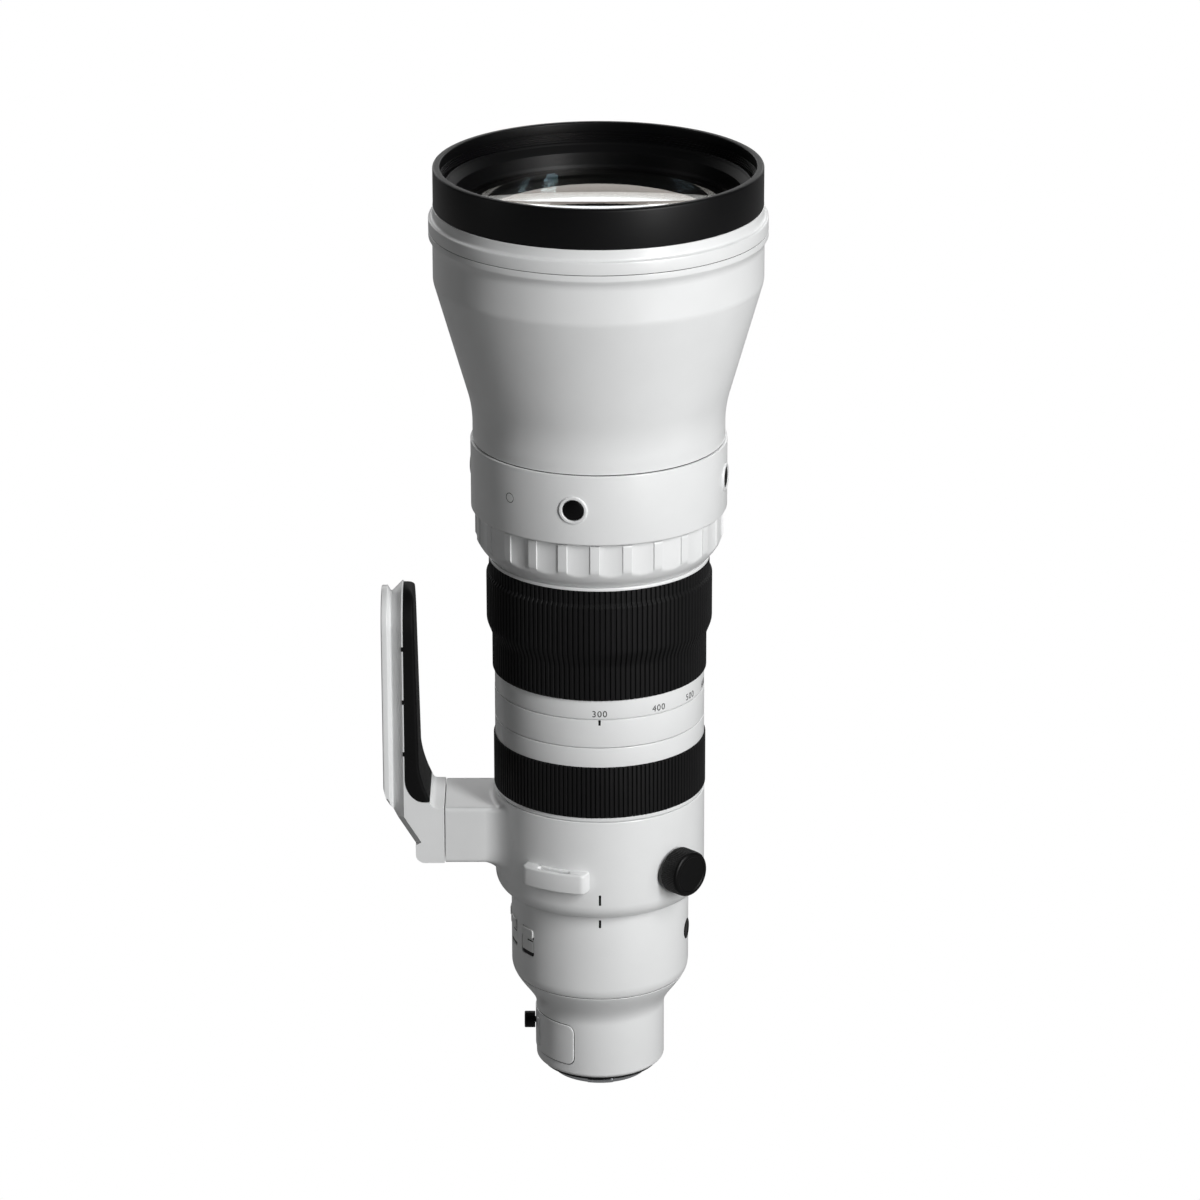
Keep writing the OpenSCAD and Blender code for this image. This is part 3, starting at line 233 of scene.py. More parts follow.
def lathe(profile: np.ndarray, closed: bool = True, segments: int = SEGMENTS) -> Patch:
    """Turns a profile of (radius, height) rows once round the axis.

    Args:
        profile: The profile, with the material on its left.
        closed: Whether the profile is a loop; an open one starts and ends on the axis.
        segments: Steps round the axis.

    Returns:
        The turned surface.
    """
    angles = np.arange(segments) * 360 / segments
    return grid(around(angles, profile[:, 0], profile[:, 1]), True, closed)


def rounded(corners: Sequence[Corner], closed: bool = True, steps: int = ROUND_STEPS) -> np.ndarray:
    """Rounds the corners of an outline.

    The arc at a corner touches both sides at radius / tan(half the corner's angle) from it, and
    its points turn evenly about its centre. A radius of 0 leaves the corner sharp.

    Args:
        corners: Rows of across, up and radius.
        closed: Whether the outline is a loop; the ends of an open one stay sharp.
        steps: Steps along each arc.

    Returns:
        The rounded outline, two columns.
    """
    rows = np.array(corners, float)
    flat = rows[:, :2]
    parts = []
    t = np.linspace(0, 1, steps + 1)[:, None]
    for i, (point, radius) in enumerate(zip(flat, rows[:, 2])):
        end = not closed and i in (0, len(flat) - 1)
        back, ahead = flat[i - 1] - point, flat[(i + 1) % len(flat)] - point
        back, ahead = back / np.linalg.norm(back), ahead / np.linalg.norm(ahead)
        half = 0.5 * math.acos(np.clip(back @ ahead, -1, 1))
        if end or radius == 0 or half > math.radians(89.5):
            parts.append(point[None])
            continue
        reach = radius / math.tan(half)
        centre = point + (back + ahead) / np.linalg.norm(back + ahead) * radius / math.sin(half)
        first, last, sweep = point + back * reach - centre, point + ahead * reach - centre, math.pi - 2 * half
        parts.append(centre + (np.sin((1 - t) * sweep) * first + np.sin(t * sweep) * last) / math.sin(sweep))
    return np.vstack(parts)


def resampled(outline: np.ndarray, count: int) -> np.ndarray:
    """A closed outline as evenly spaced points.

    Args:
        outline: The outline's points.
        count: Number of new points.

    Returns:
        The new points, one row each.
    """
    loop = np.vstack([outline, outline[:1]])
    way = np.concatenate([[0], np.cumsum(np.linalg.norm(np.diff(loop, axis=0), axis=1))])
    at = np.arange(count) / count * way[-1]
    return np.stack([np.interp(at, way, loop[:, 0]), np.interp(at, way, loop[:, 1])], axis=1)


def outward(outline: np.ndarray) -> np.ndarray:
    """Unit normals that point out of a closed counter-clockwise outline.

    Args:
        outline: The outline's points.

    Returns:
        One normal for each point.
    """
    along = np.roll(outline, -1, 0) - np.roll(outline, 1, 0)
    along = along / np.linalg.norm(along, axis=1, keepdims=True)
    return np.stack([along[:, 1], -along[:, 0]], axis=1)


def oblong(width: float, height: float, corner: float, count: int = 96) -> np.ndarray:
    """A rectangle with round corners about the origin, as evenly spaced points."""
    w, h = width / 2, height / 2
    return resampled(rounded([(w, -h, corner), (w, h, corner), (-w, h, corner), (-w, -h, corner)]), count)


def circle(radius: float, count: int = 64) -> np.ndarray:
    """A circle about the origin, counter-clockwise."""
    a = np.linspace(0, 2 * math.pi, count, endpoint=False)
    return radius * np.stack([np.cos(a), np.sin(a)], axis=1)


def boss(outline: np.ndarray, low: float, high: float, edge: float, rings: int = 5) -> Patch:
    """A plate with a round upper edge and gridded faces, so that it can be bent.

    Rings shrink from the outline to its middle on both faces; at the upper edge the outline is
    drawn in by edge (1 - cos t) while it rises by edge sin t.

    Args:
        outline: Closed counter-clockwise outline about the origin.
        low: Height of the lower face.
        high: Height of the upper face.
        edge: Radius of the upper edge.
        rings: Rings on each face.

    Returns:
        The closed plate.
    """
    t = np.linspace(0, math.pi / 2, ROUND_STEPS)
    share = np.linspace(0, 1, rings + 1)
    drawn = outline - outward(outline) * edge
    rows = [(outline * s, low) for s in share]
    rows += [(outline + (drawn - outline) * (1 - math.cos(a)), high - edge + edge * math.sin(a)) for a in t]
    rows += [(drawn * s, high) for s in share[-2::-1]]
    flat = np.stack([row for row, _ in rows], axis=1)
    height = np.broadcast_to([h for _, h in rows], flat.shape[:2])
    return grid(np.concatenate([flat, height[..., None]], axis=2), True, False)


# Finishes

Tree = bpy.types.NodeTree
Socket = bpy.types.NodeSocket
# Numbers of node inputs and outputs whose names are not unique
FROM_LOW, FROM_HIGH, TO_LOW, TO_HIGH = 1, 2, 3, 4
MIX_FIRST, MIX_SECOND, MIX_COLOUR = 6, 7, 2


def linear(code: str) -> tuple[float, float, float, float]:
    """A colour given as sRGB hex, in linear light with full opacity.

    Args:
        code: A hash and six hex digits.

    Returns:
        Red, green, blue and opacity.
    """
    parts = np.array([int(code[i : i + 2], 16) for i in (1, 3, 5)]) / 255
    light = np.where(parts <= 0.04045, parts / 12.92, ((parts + 0.055) / 1.055) ** 2.4)
    return (*light.tolist(), 1.0)


def add(tree: Tree, kind: str, inputs: dict[Any, Any], **settings: Any) -> bpy.types.Node:
    """Adds a node to a tree.

    Args:
        tree: The material's node tree.
        kind: The node's type.
        inputs: A value, or another node's output to link, for each input by name or number.
        **settings: The node's own properties.

    Returns:
        The new node.
    """
    node = tree.nodes.new(kind)
    for name, value in settings.items():
        setattr(node, name, value)
    for key, value in inputs.items():
        if isinstance(value, Socket):
            tree.links.new(value, node.inputs[key])
        else:
            node.inputs[key].default_value = value
    return node


def blank(name: str) -> tuple[bpy.types.Material, Tree, Socket, bpy.types.Node]:
    """A new material with an empty tree, its object coordinates and its output node.

    Args:
        name: The material's name.

    Returns:
        Material, tree, coordinates and output node.
    """
    material = bpy.data.materials.new(name)
    material.use_nodes = True
    tree = material.node_tree
    tree.nodes.clear()
    place = add(tree, "ShaderNodeTexCoord", {}).outputs["Object"]
    return material, tree, place, add(tree, "ShaderNodeOutputMaterial", {})


def noise(tree: Tree, size: float, inputs: dict[str, Any], detail: float, **settings: Any) -> Socket:
    """The grey value of a noise texture whose patches have a size in millimetres."""
    scaled = {**inputs, "Scale": 1 / (size * MM), "Detail": detail}
    return add(tree, "ShaderNodeTexNoise", scaled, **settings).outputs["Fac"]


def blend(tree: Tree, share: Socket, first: str, second: str) -> Socket:
    """A colour between two sRGB hex colours."""
    inputs = {"Factor": share, MIX_FIRST: linear(first), MIX_SECOND: linear(second)}
    return add(tree, "ShaderNodeMix", inputs, data_type="RGBA").outputs[MIX_COLOUR]


def ranged(tree: Tree, value: Socket, limits: dict[int, float]) -> Socket:
    """A value carried from one range to another; limits has the inputs by number, 0 to 1 if not given."""
    return add(tree, "ShaderNodeMapRange", {"Value": value, **limits}).outputs[0]


def grained(tree: Tree, grain: Socket, finish: "GrainedFinish | TurnedMetal") -> dict[str, Any]:
    """Roughness and relief that follow a grain, for a finish that has roughness, rough_more and relief.

    Args:
        tree: The material's node tree.
        grain: The grain's value.
        finish: The finish.

    Returns:
        Inputs of the surface by name.
    """
    limits = {TO_LOW: finish.roughness, TO_HIGH: finish.roughness + finish.rough_more}
    relief = {"Height": grain, "Strength": 1.0, "Distance": finish.relief * MM}
    bump = add(tree, "ShaderNodeBump", relief)
    return {"Roughness": ranged(tree, grain, limits), "Normal": bump.outputs[0]}


def coated(tree: Tree, output: bpy.types.Node, inputs: dict[str, Any]) -> None:
    """Ends a material's tree with a surface that has the given inputs."""
    shader = add(tree, "ShaderNodeBsdfPrincipled", inputs)
    tree.links.new(shader.outputs[0], output.inputs["Surface"])


@dataclass(frozen=True)
class GrainedFinish:
    """A painted, moulded or rubber surface: a fine grain over a slow drift of tone.

    Args:
        name: The material's name.
        slot: The record's material slot.
        colour: Colour of most of the surface.
        drift: Colour that it drifts to in soft patches.
        roughness: Roughness of the smoother grain; the coarser grain has rough_more on top.
        rough_more: Added roughness.
        grain: Size of the grain.
        relief: Height of the grain.
        patch: Size of the tone patches.
        coat: Weight of the clear top coat.
        gloss: Strength of the mirror-like part, 0.5 for a plain plastic.
    """

    name: str
    slot: Slot
    colour: str
    drift: str
    roughness: float
    rough_more: float
    grain: float
    relief: float
    patch: float = 45.0
    coat: float = 0.0
    gloss: float = 0.5

    def material(self) -> bpy.types.Material:
        """Builds the material.

        Returns:
            The material.
        """
        made, tree, place, output = blank(self.name)
        slow = noise(tree, self.patch, {"Vector": place}, detail=3.0)
        fine = noise(tree, self.grain, {"Vector": place}, detail=2.0)
        tone = ranged(tree, slow, {FROM_LOW: 0.35, FROM_HIGH: 0.7})
        coated(tree, output, {
            "Base Color": blend(tree, tone, self.colour, self.drift), **grained(tree, fine, self),
            "Specular IOR Level": self.gloss, "Coat Weight": self.coat})
        return made


@dataclass(frozen=True)
class TurnedMetal:
    """Metal from a lathe: fine rings round the optical axis that stretch its highlights.

    Args:
        name: The material's name.
        slot: The record's material slot.
        colour: Colour of the metal.
        roughness: Roughness in the valleys; the crests have rough_more on top.
        rough_more: Added roughness.
        ring: Distance between tool marks, drawn coarser than real ones so that they show.
        relief: Height of the marks.
        metallic: 1 for bare or plated metal, 0 for a black anodised skin.
        gloss: Strength of the mirror-like part, 0.5 for a plain skin.
    """

    name: str
    slot: Slot
    colour: str
    roughness: float
    rough_more: float
    ring: float
    relief: float
    metallic: float = 1.0
    gloss: float = 0.5

    def material(self) -> bpy.types.Material:
        """Builds the material.

        Returns:
            The material.
        """
        made, tree, place, output = blank(self.name)
        flat = add(tree, "ShaderNodeVectorMath", {0: place, 1: (1, 1, 0)}, operation="MULTIPLY")
        out = add(tree, "ShaderNodeVectorMath", {0: flat.outputs[0]}, operation="LENGTH")
        parts = add(tree, "ShaderNodeSeparateXYZ", {0: place})
        way = add(tree, "ShaderNodeMath", {0: out.outputs["Value"], 1: parts.outputs["Z"]}, operation="ADD")
        marks = noise(tree, self.ring, {"W": way.outputs[0]}, detail=3.0, noise_dimensions="1D")
        coated(tree, output, {
            "Base Color": linear(self.colour), **grained(tree, marks, self), "Metallic": self.metallic,
            "Specular IOR Level": self.gloss})
        return made


@dataclass(frozen=True)
class OpticalGlass:
    """Polished optical glass under a thin anti-reflection film that tints what it mirrors.

    Args:
        name: The material's name.
        slot: The record's material slot.
        tint: Colour of the glass.
        film: Thickness of the film in nanometres.
        film_index: Refractive index of the film.
        index: Refractive index, less than the real one where more coats are to be stood for.
        smear: Roughness of the least clean patches.
        patch: Size of the patches.
    """

    name: str
    slot: Slot
    tint: str
    film: float
    film_index: float = 1.38
    index: float = 1.55
    smear: float = 0.02
    patch: float = 30.0

    def material(self) -> bpy.types.Material:
        """Builds the material.

        Returns:
            The material.
        """
        made, tree, place, output = blank(self.name)
        cloud = noise(tree, self.patch, {"Vector": place}, detail=4.0)
        rough = ranged(tree, cloud, {FROM_LOW: 0.55, FROM_HIGH: 0.8, TO_HIGH: self.smear})
        coated(tree, output, {
            "Base Color": linear(self.tint), "Roughness": rough, "IOR": self.index,
            "Transmission Weight": 1.0, "Thin Film Thickness": self.film, "Thin Film IOR": self.film_index})
        return made


@dataclass(frozen=True)
class PrintedBoard:
    """A circuit board: solder mask over copper tracks that show as paler lines."""

    name: str
    slot: Slot
    mask: str = "#12452c"
    track: str = "#2c7a4a"
    track_pitch: float = 2.4
    roughness: float = 0.35

    def material(self) -> bpy.types.Material:
        """Builds the material.

        Returns:
            The material.
        """
        made, tree, place, output = blank(self.name)
        spread = {"Vector": place, "Scale": 1 / (self.track_pitch * MM)}
        cells = add(tree, "ShaderNodeTexVoronoi", spread, feature="DISTANCE_TO_EDGE").outputs["Distance"]
        lines = ranged(tree, cells, {FROM_LOW: 0.05, FROM_HIGH: 0.12, TO_LOW: 1.0, TO_HIGH: 0.0})
        coated(tree, output, {"Base Color": blend(tree, lines, self.mask, self.track),
                              "Roughness": self.roughness})
        return made


# Baked white enamel on aluminium: a satin, faintly pebbled skin with broad soft highlights
WHITE_ENAMEL = GrainedFinish(
    "white_enamel_on_aluminium", Slot.WHITE_METAL, "#ebecec", "#e6e7e7",
    roughness=0.27, rough_more=0.08, grain=0.5, relief=0.012, coat=0.06, gloss=1.0)
# Moulded white polycarbonate: as white as the enamel, finer grained and less glossy
WHITE_MOULDED = GrainedFinish(
    "white_moulded_polycarbonate", Slot.WHITE_PLASTIC, "#ecedec", "#e6e7e6",
    roughness=0.32, rough_more=0.1, grain=0.35, relief=0.008)
# Black anodised aluminium: deep satin black whose turned skin draws highlights into long bands
BLACK_ANODISED = TurnedMetal(
    "black_anodised_aluminium", Slot.BLACK_METAL, "#060607",
    roughness=0.38, rough_more=0.1, ring=0.35, relief=0.004, metallic=0.0, gloss=0.22)
# Flocked black lining: takes almost all light, with a fine nap
BLACK_FLOCK = GrainedFinish(
    "black_flocked_lining", Slot.BLACK_METAL, "#050506", "#080809",
    roughness=0.85, rough_more=0.1, grain=0.3, relief=0.03, gloss=0.2)
# Moulded black ABS: near black, finely spark-eroded, with a soft sheen on round edges; it also draws the
# black switch slot floors, painted shade in the gaps round the sliders
BLACK_MOULDED_AND_SLOT_SHADE = GrainedFinish(
    "black_moulded_abs_and_slot_shade", Slot.BLACK_PLASTIC, "#030303", "#050506",
    roughness=0.34, rough_more=0.12, grain=0.3, relief=0.01, gloss=0.2)
# Ribbed nitrile rubber: dull black with a slight grey bloom; it also draws the black rings of painted shade
# in the barrels' seams
GRIP_RUBBER_AND_SEAM_SHADE = GrainedFinish(
    "black_grip_rubber_and_seam_shade", Slot.BLACK_RUBBER, "#060607", "#0b0b0c",
    roughness=0.6, rough_more=0.15, grain=0.4, relief=0.02, patch=18, gloss=0.25)
# Dimpled silicone of the foot's pad: dull black, coarser grain than the grips
PAD_RUBBER = GrainedFinish(
    "black_dimpled_silicone", Slot.BLACK_RUBBER, "#040404", "#070708",
    roughness=0.55, rough_more=0.2, grain=1.1, relief=0.06, patch=20, gloss=0.15)
# Black anodised inner barrels: duller than the outside, seen only with the barrel opened
INNER_ANODISED = TurnedMetal(
    "inner_black_anodised_aluminium", Slot.INNER_METAL, "#17171a",
    roughness=0.45, rough_more=0.12, ring=0.6, relief=0.006, metallic=0.0)
# Ground stainless steel of rods, pins and screws
GROUND_STEEL = TurnedMetal(
    "ground_stainless_steel", Slot.STEEL, "#b9bcc0",
    roughness=0.24, rough_more=0.12, ring=0.4, relief=0.003)
# Chrome-plated brass of the bayonet: bright, with fine turning marks
CHROMED_BRASS = TurnedMetal(
    "chromed_brass", Slot.MOUNT_CHROME, "#cfd1d4",
    roughness=0.16, rough_more=0.12, ring=0.3, relief=0.003)
# Gold-plated contacts
GOLD_PLATE = TurnedMetal(
    "gold_plated_contact", Slot.CONTACT_GOLD, "#d9b45c",
    roughness=0.18, rough_more=0.1, ring=0.4, relief=0.002)
# Solder-masked circuit board
SOLDER_MASK = PrintedBoard("solder_masked_board", Slot.BOARD_GREEN)
# Front glass: clear, its film gives warm grey and violet reflections
FRONT_GLASS = OpticalGlass("coated_front_glass", Slot.COATED_GLASS, "#fbfdfc", film=95.0)
# Inner glass: clear, its film gives cooler reflections
INNER_GLASS = OpticalGlass("coated_inner_glass", Slot.COATED_GLASS, "#f6faf8", film=110.0, index=1.15)
# Screen-printed marks: dense black ink, matt, very thin; it also paints the shadow under each switch slider's
# tab
BLACK_INK_AND_TAB_SHADOW = GrainedFinish(
    "black_screen_ink_and_tab_shadow", Slot.BLACK_PLASTIC, "#0a0a0a", "#0d0d0e",
    roughness=0.6, rough_more=0.1, grain=0.2, relief=0.002, gloss=0.2)


# From patches to dressed pieces

Finish = GrainedFinish | TurnedMetal | OpticalGlass | PrintedBoard
WELD = 1e-7


class Workshop:
    """Turns patches into dressed pieces, and keeps one material for each finish."""

    def __init__(self) -> None:
        """Starts with no materials made."""
        self.made: dict[str, bpy.types.Material] = {}

    def material(self, finish: Finish) -> bpy.types.Material:
        """The material of a finish, made on its first use.

        Args:
            finish: The finish.

        Returns:
            Its material.
        """
        if finish.name not in self.made:
            self.made[finish.name] = finish.material()
        return self.made[finish.name]

    def blank(self, name: str, patch: Patch) -> bpy.types.Object:
        """An object of a patch, with its poles and seams welded and its sharp edges marked.

        Args:
            name: The object's name.
            patch: Its surface.

        Returns:
            The object.
        """
        mesh = bpy.data.meshes.new(name)
        mesh.from_pydata((patch.points * MM).tolist(), [], patch.faces)
        shape = bmesh.new()
        shape.from_mesh(mesh)
        bmesh.ops.remove_doubles(shape, verts=shape.verts, dist=WELD)
        shape.to_mesh(mesh)
        shape.free()
        self.smooth(mesh)
        made = bpy.data.objects.new(name, mesh)
        bpy.context.scene.collection.objects.link(made)
        return made

    def smooth(self, mesh: bpy.types.Mesh) -> None:
        """Shades a mesh smooth except across its creases."""
        mesh.shade_smooth()
        mesh.set_sharp_from_angle(angle=math.radians(CREASE))

    def shape(self, whole: bpy.types.Object, other: Patch, operation: str) -> None:
        """Joins a closed patch to an object, or takes it out of it, by Blender's exact boolean.

        Args:
            whole: The object.
            other: The closed patch.
            operation: Blender's name of the boolean.
        """
        tool = self.blank(whole.name + "_tool", other)
        step = whole.modifiers.new("shape", "BOOLEAN")
        step.operation, step.solver, step.object = operation, "EXACT", tool
        shapes = bpy.context.evaluated_depsgraph_get()
        whole.data = bpy.data.meshes.new_from_object(whole.evaluated_get(shapes))
        whole.modifiers.clear()
        bpy.data.objects.remove(tool)
        self.smooth(whole.data)

    def cut(self, whole: bpy.types.Object, other: Patch) -> None:
        """Takes a closed patch out of an object."""
        self.shape(whole, other, "DIFFERENCE")

    def join(self, whole: bpy.types.Object, other: Patch) -> None:
        """Joins a closed patch to an object."""
        self.shape(whole, other, "UNION")

    def dress(self, piece: bpy.types.Object, finish: Finish, body: str, *nodes: str) -> None:
        """Gives a piece its finish and its body.

        Args:
            piece: The object.
            finish: Its finish.
            body: The CAD body that it moves with.
            *nodes: The CAD nodes that it stands for.
        """
        piece.data.materials.clear()
        piece.data.materials.append(self.material(finish))
        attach(piece, body)
        if nodes:
            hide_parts(*nodes)
        LOG.info("%s on %s, %d faces", piece.name, body, len(piece.data.polygons))

    def make(self, name: str, patch: Patch, finish: Finish, body: str, *nodes: str) -> None:
        """Makes and dresses a piece in one go; the arguments are those of blank and dress."""
        self.dress(self.blank(name, patch), finish, body, *nodes)


def place_of(node: str) -> tuple[float, float]:
    """The angle round the axis and the height of the middle of a CAD node's box.

    Args:
        node: The node's name.

    Returns:
        Angle and height.
    """
    low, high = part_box(node)
    middle = (low + high) / 2
    return math.degrees(math.atan2(middle.x, -middle.y)), middle.z / MM


def span(node: str) -> Any:
    """A dataclass field that holds a CAD node's span."""
    return field(default_factory=lambda: Span.of(node))


@dataclass
class FrontEnd:
    """Black front ring, the baffle inside it, and the two front elements."""

    ring: Span = span("front_ring")
    baffle: Span = span("front_baffle")
    glass: Span = span("front_element")
    inner: Span = span("second_element")
    wall: float = 3.5
    grooves: int = 4
    groove_pitch: float = 1.2
    groove_depth: float = 0.35
    groove_start: float = 5.0
    groove_slope: float = 0.15
    groove_edge: float = 0.08
    bead: tuple[float, float] = (73.7, 69.6)
    bead_rise: tuple[float, float] = (10.8, 7.1)
    clear_r: float = 68.05
    curve: float = 300.0
    inner_curve: float = 220.0

    def build(self, shop: Workshop) -> None:
        """Builds the front ring, baffle and glass."""
        shop.make("front_bumper", lathe(self.ring_profile()), BLACK_ANODISED, "barrel", "front_ring")
        baffle = lathe(self.baffle_profile())
        shop.make("front_light_baffle", baffle, BLACK_ANODISED, "barrel", "front_baffle")
        front = lathe(self.glass_profile(), closed=False)
        shop.make("front_glass", front, FRONT_GLASS, "barrel", "front_element")
        inner = lathe(self.inner_profile(), closed=False)
        shop.make("second_glass", inner, INNER_GLASS, "barrel", "second_element")

    def ring_profile(self) -> np.ndarray:
        """A plain band with a round rim; fine grooves run round its inner wall.

        Returns:
            Rows of radius and height.
        """
        z0, z1, r = self.ring.z0, self.ring.z1, self.ring.r
        bore, deep = r - self.wall, r - self.wall + self.groove_depth
        corners = [(bore, z0, 0), (r, z0, 0.4), (r, z1, 1.2), (bore, z1, 0.8)]
        for k in range(self.grooves):
            top = z1 - self.groove_start - k * self.groove_pitch
            low = top - self.groove_pitch / 2
            sides = (bore, top), (deep, top - self.groove_slope), (deep, low + self.groove_slope), (bore, low)
            corners += [(x, z, self.groove_edge) for x, z in sides]
        return rounded(corners)

    def baffle_profile(self) -> np.ndarray:
        """A funnel between two bright beads that leads down to the edge of the glass.

        Returns:
            Rows of radius and height.
        """
        z0, z1, r = self.baffle.z0, self.baffle.z1, self.baffle.r
        return rounded([
            (self.clear_r + 0.05, z0, 0), (r, z0, 0), (r, z0 + self.bead_rise[0], 0.2),
            (self.bead[0], z1, 0.45), (self.bead[0] - 0.9, z1 - 1.2, 0.4),
            (self.bead[1], z0 + self.bead_rise[1], 0.45), (self.clear_r + 0.6, z0 + 1.4, 0.5)])

    def glass_profile(self) -> np.ndarray:
        """A flat-backed disc whose front is a cap of a sphere: height = top - curve + sqrt(curve^2 - r^2).

        Returns:
            Rows of radius and height.
        """
        z0, z1, r = self.glass.z0, self.glass.z1, self.glass.r
        across = np.linspace(self.clear_r, 0, 48)
        cap = z1 - self.curve + np.sqrt(self.curve**2 - across**2)
        edge = [(0, z0), (r, z0), (r, cap[0])]
        return np.vstack([edge, np.stack([across, cap], axis=1)])

    def inner_profile(self) -> np.ndarray:
        """A thick disc with a hollow front: height = edge + curve drop - sqrt(curve^2 - r^2).

        Returns:
            Rows of radius and height.
        """
        z0, z1, r = self.inner.z0, self.inner.z1, self.inner.r
        across = np.linspace(r - 0.6, 0, 40)
        drop = math.sqrt(self.inner_curve**2 - across[0] ** 2)
        hollow = z1 + drop - np.sqrt(self.inner_curve**2 - across**2)
        return np.vstack([[(0, z0), (r, z0), (r, z1)], np.stack([across, hollow], axis=1)])


# A seam's groove, and the black ring of painted shade in it: depths below the skin, and the play above and
# below
SEAM_GROOVE = 0.9
SEAM_INNER = 0.85
SEAM_OUTER = 0.25
SEAM_PLAY = 0.03


def seam(r: float, z: float, height: float) -> Patch:
    """A black ring of painted shade in the seam between two tubes of radius r, a little below their skin.

    Args:
        r: Radius of the tubes.
        z: Lower end of the seam.
        height: Height of the seam.

    Returns:
        The closed ring.
    """
    low, high = z + SEAM_PLAY, z + height - SEAM_PLAY
    inner, outer = r - SEAM_INNER, r - SEAM_OUTER
    return lathe(np.array([(inner, low), (outer, low), (outer, high), (inner, high)]))


@dataclass
class FrontBarrel:
    """White bell-shaped front barrel with its flange ring and a ribbed black lining."""

    bell: Span = span("front_barrel")
    flange: Span = span("hood_flange_ring")
    band: Span = span("control_band")
    cell: Span = span("front_cell")
    tail_r: float = 61.7
    tail_len: float = 8.0
    front_r: float = 80.1
    front_len: float = 25.2
    angle: float = 16.0
    wall: float = 3.1
    spigot_r: float = 57.95
    spigot_wall: float = 3.4
    lip: float = 6.6
    lip_slope: float = 3.4
    flange_step: float = 6.3
    neck: float = 2.1
    lining_ribs: int = 18
    lining_rib: float = 1.4
    lining_t: float = 0.05
    lining_in: tuple[float, float] = (0.15, 3.2)
    lining_end: float = 0.2
    low_seam: float = 0.45
    high_seam: float = 0.3

    def build(self, shop: Workshop) -> None:
        """Builds the bell, its lining, the flange ring and the black rings of painted shade in the bell's
        seams.
        """
        shop.make("bell_barrel", lathe(self.bell_profile()), WHITE_ENAMEL, "barrel", "front_barrel")
        shop.make("bell_lining", lathe(self.lining_profile()), BLACK_FLOCK, "barrel")
        shop.make("hood_flange", lathe(self.flange_profile()), WHITE_ENAMEL, "barrel", "hood_flange_ring")
        # Black rings in the bell's two seams are painted shade: dark lines where the gaps fall in shadow
        low = seam(self.tail_r, self.band.z1, self.low_seam)
        high = seam(self.bell.r, self.bell.z1 - self.high_seam, self.high_seam)
        shop.make("bell_seam_painted_shade", low + high, GRIP_RUBBER_AND_SEAM_SHADE, "barrel")

    def curve(self) -> np.ndarray:
        """The bell's waist: an arc that starts upright and ends at the cone's slope.

        Its radius is (run tan slope - rise) / (1 / cos slope - 1), so that the cone meets the
        straight front.

        Returns:
            Rows of radius and height.
        """
        slope = math.radians(self.angle)
        z_tail, z_front = self.band.z1 + self.tail_len, self.bell.z1 - self.front_len
        rise = self.front_r - self.tail_r
        radius = ((z_front - z_tail) * math.tan(slope) - rise) / (1 / math.cos(slope) - 1)
        t = np.linspace(0, slope, 40)
        return np.stack([self.tail_r + radius * (1 - np.cos(t)), z_tail + radius * np.sin(t)], axis=1)

    def bell_profile(self) -> np.ndarray:
        """Spigot, waist, cone, straight front and the lip that meets the flange ring.

        Returns:
            Rows of radius and height.
        """
        z0, z1, r, seat = self.bell.z0, self.bell.z1, self.bell.r, self.band.z1
        bore, inside = self.front_r - self.wall, self.spigot_r - self.spigot_wall
        tail_in = self.tail_r - self.wall
        waist = [(x, z, 0) for x, z in self.curve()]
        groove, low, high = self.tail_r - SEAM_GROOVE, seat + self.low_seam, z1 - self.high_seam
        return rounded([
            (inside, z0, 0), (self.spigot_r, z0, 0), (self.spigot_r, seat, 0), (groove, seat, 0),
            (groove, low, 0.1), (self.tail_r, low, 0.15), *waist, (self.front_r, z1 - self.front_len, 12),
            (self.front_r, z1 - self.lip, 8), (r, z1 - self.lip + self.lip_slope, 1.5), (r, high, 0.15),
            (r - 1, high, 0), (r - 1, z1, 0), (bore, z1, 0), (bore, self.cell.z0, 0),
            (bore - 3, self.cell.z0, 0), (tail_in, seat + self.tail_len, 0),
            (tail_in, seat + self.spigot_wall, 0), (inside, seat, 0)])

    def lining_profile(self) -> np.ndarray:
        """A thin black sleeve inside the bell; rows of small ribs stop stray light.

        Returns:
            Rows of radius and height.
        """
        low = np.array([self.tail_r - self.wall - self.lining_in[0], self.band.z1 + self.tail_len])
        high = np.array([self.front_r - self.wall - self.lining_in[1], self.cell.z0 - self.lining_end])
        share = np.repeat(np.linspace(0, 1, self.lining_ribs + 1), 2)
        rows = low + (high - low) * share[:, None]
        rows[1::2, 0] -= self.lining_rib
        back = np.array([low, high]) - [self.lining_t, 0]
        return np.vstack([back, rows[::-1] - [2 * self.lining_t, 0]])

    def flange_profile(self) -> np.ndarray:
        """A ring whose lip falls through a small hollow to the neck under the black front ring.

        Returns:
            Rows of radius and height.
        """
        z0, z1, r = self.flange.z0, self.flange.z1, self.flange.r
        bore, step = self.front_r - self.wall, z0 + self.flange_step
        return rounded([(bore, z0, 0), (r, z0, 0.2), (r, step, 0.8), (r - self.neck, step, 1.2),
                        (r - self.neck, z1, 0.3), (bore, z1, 0)])


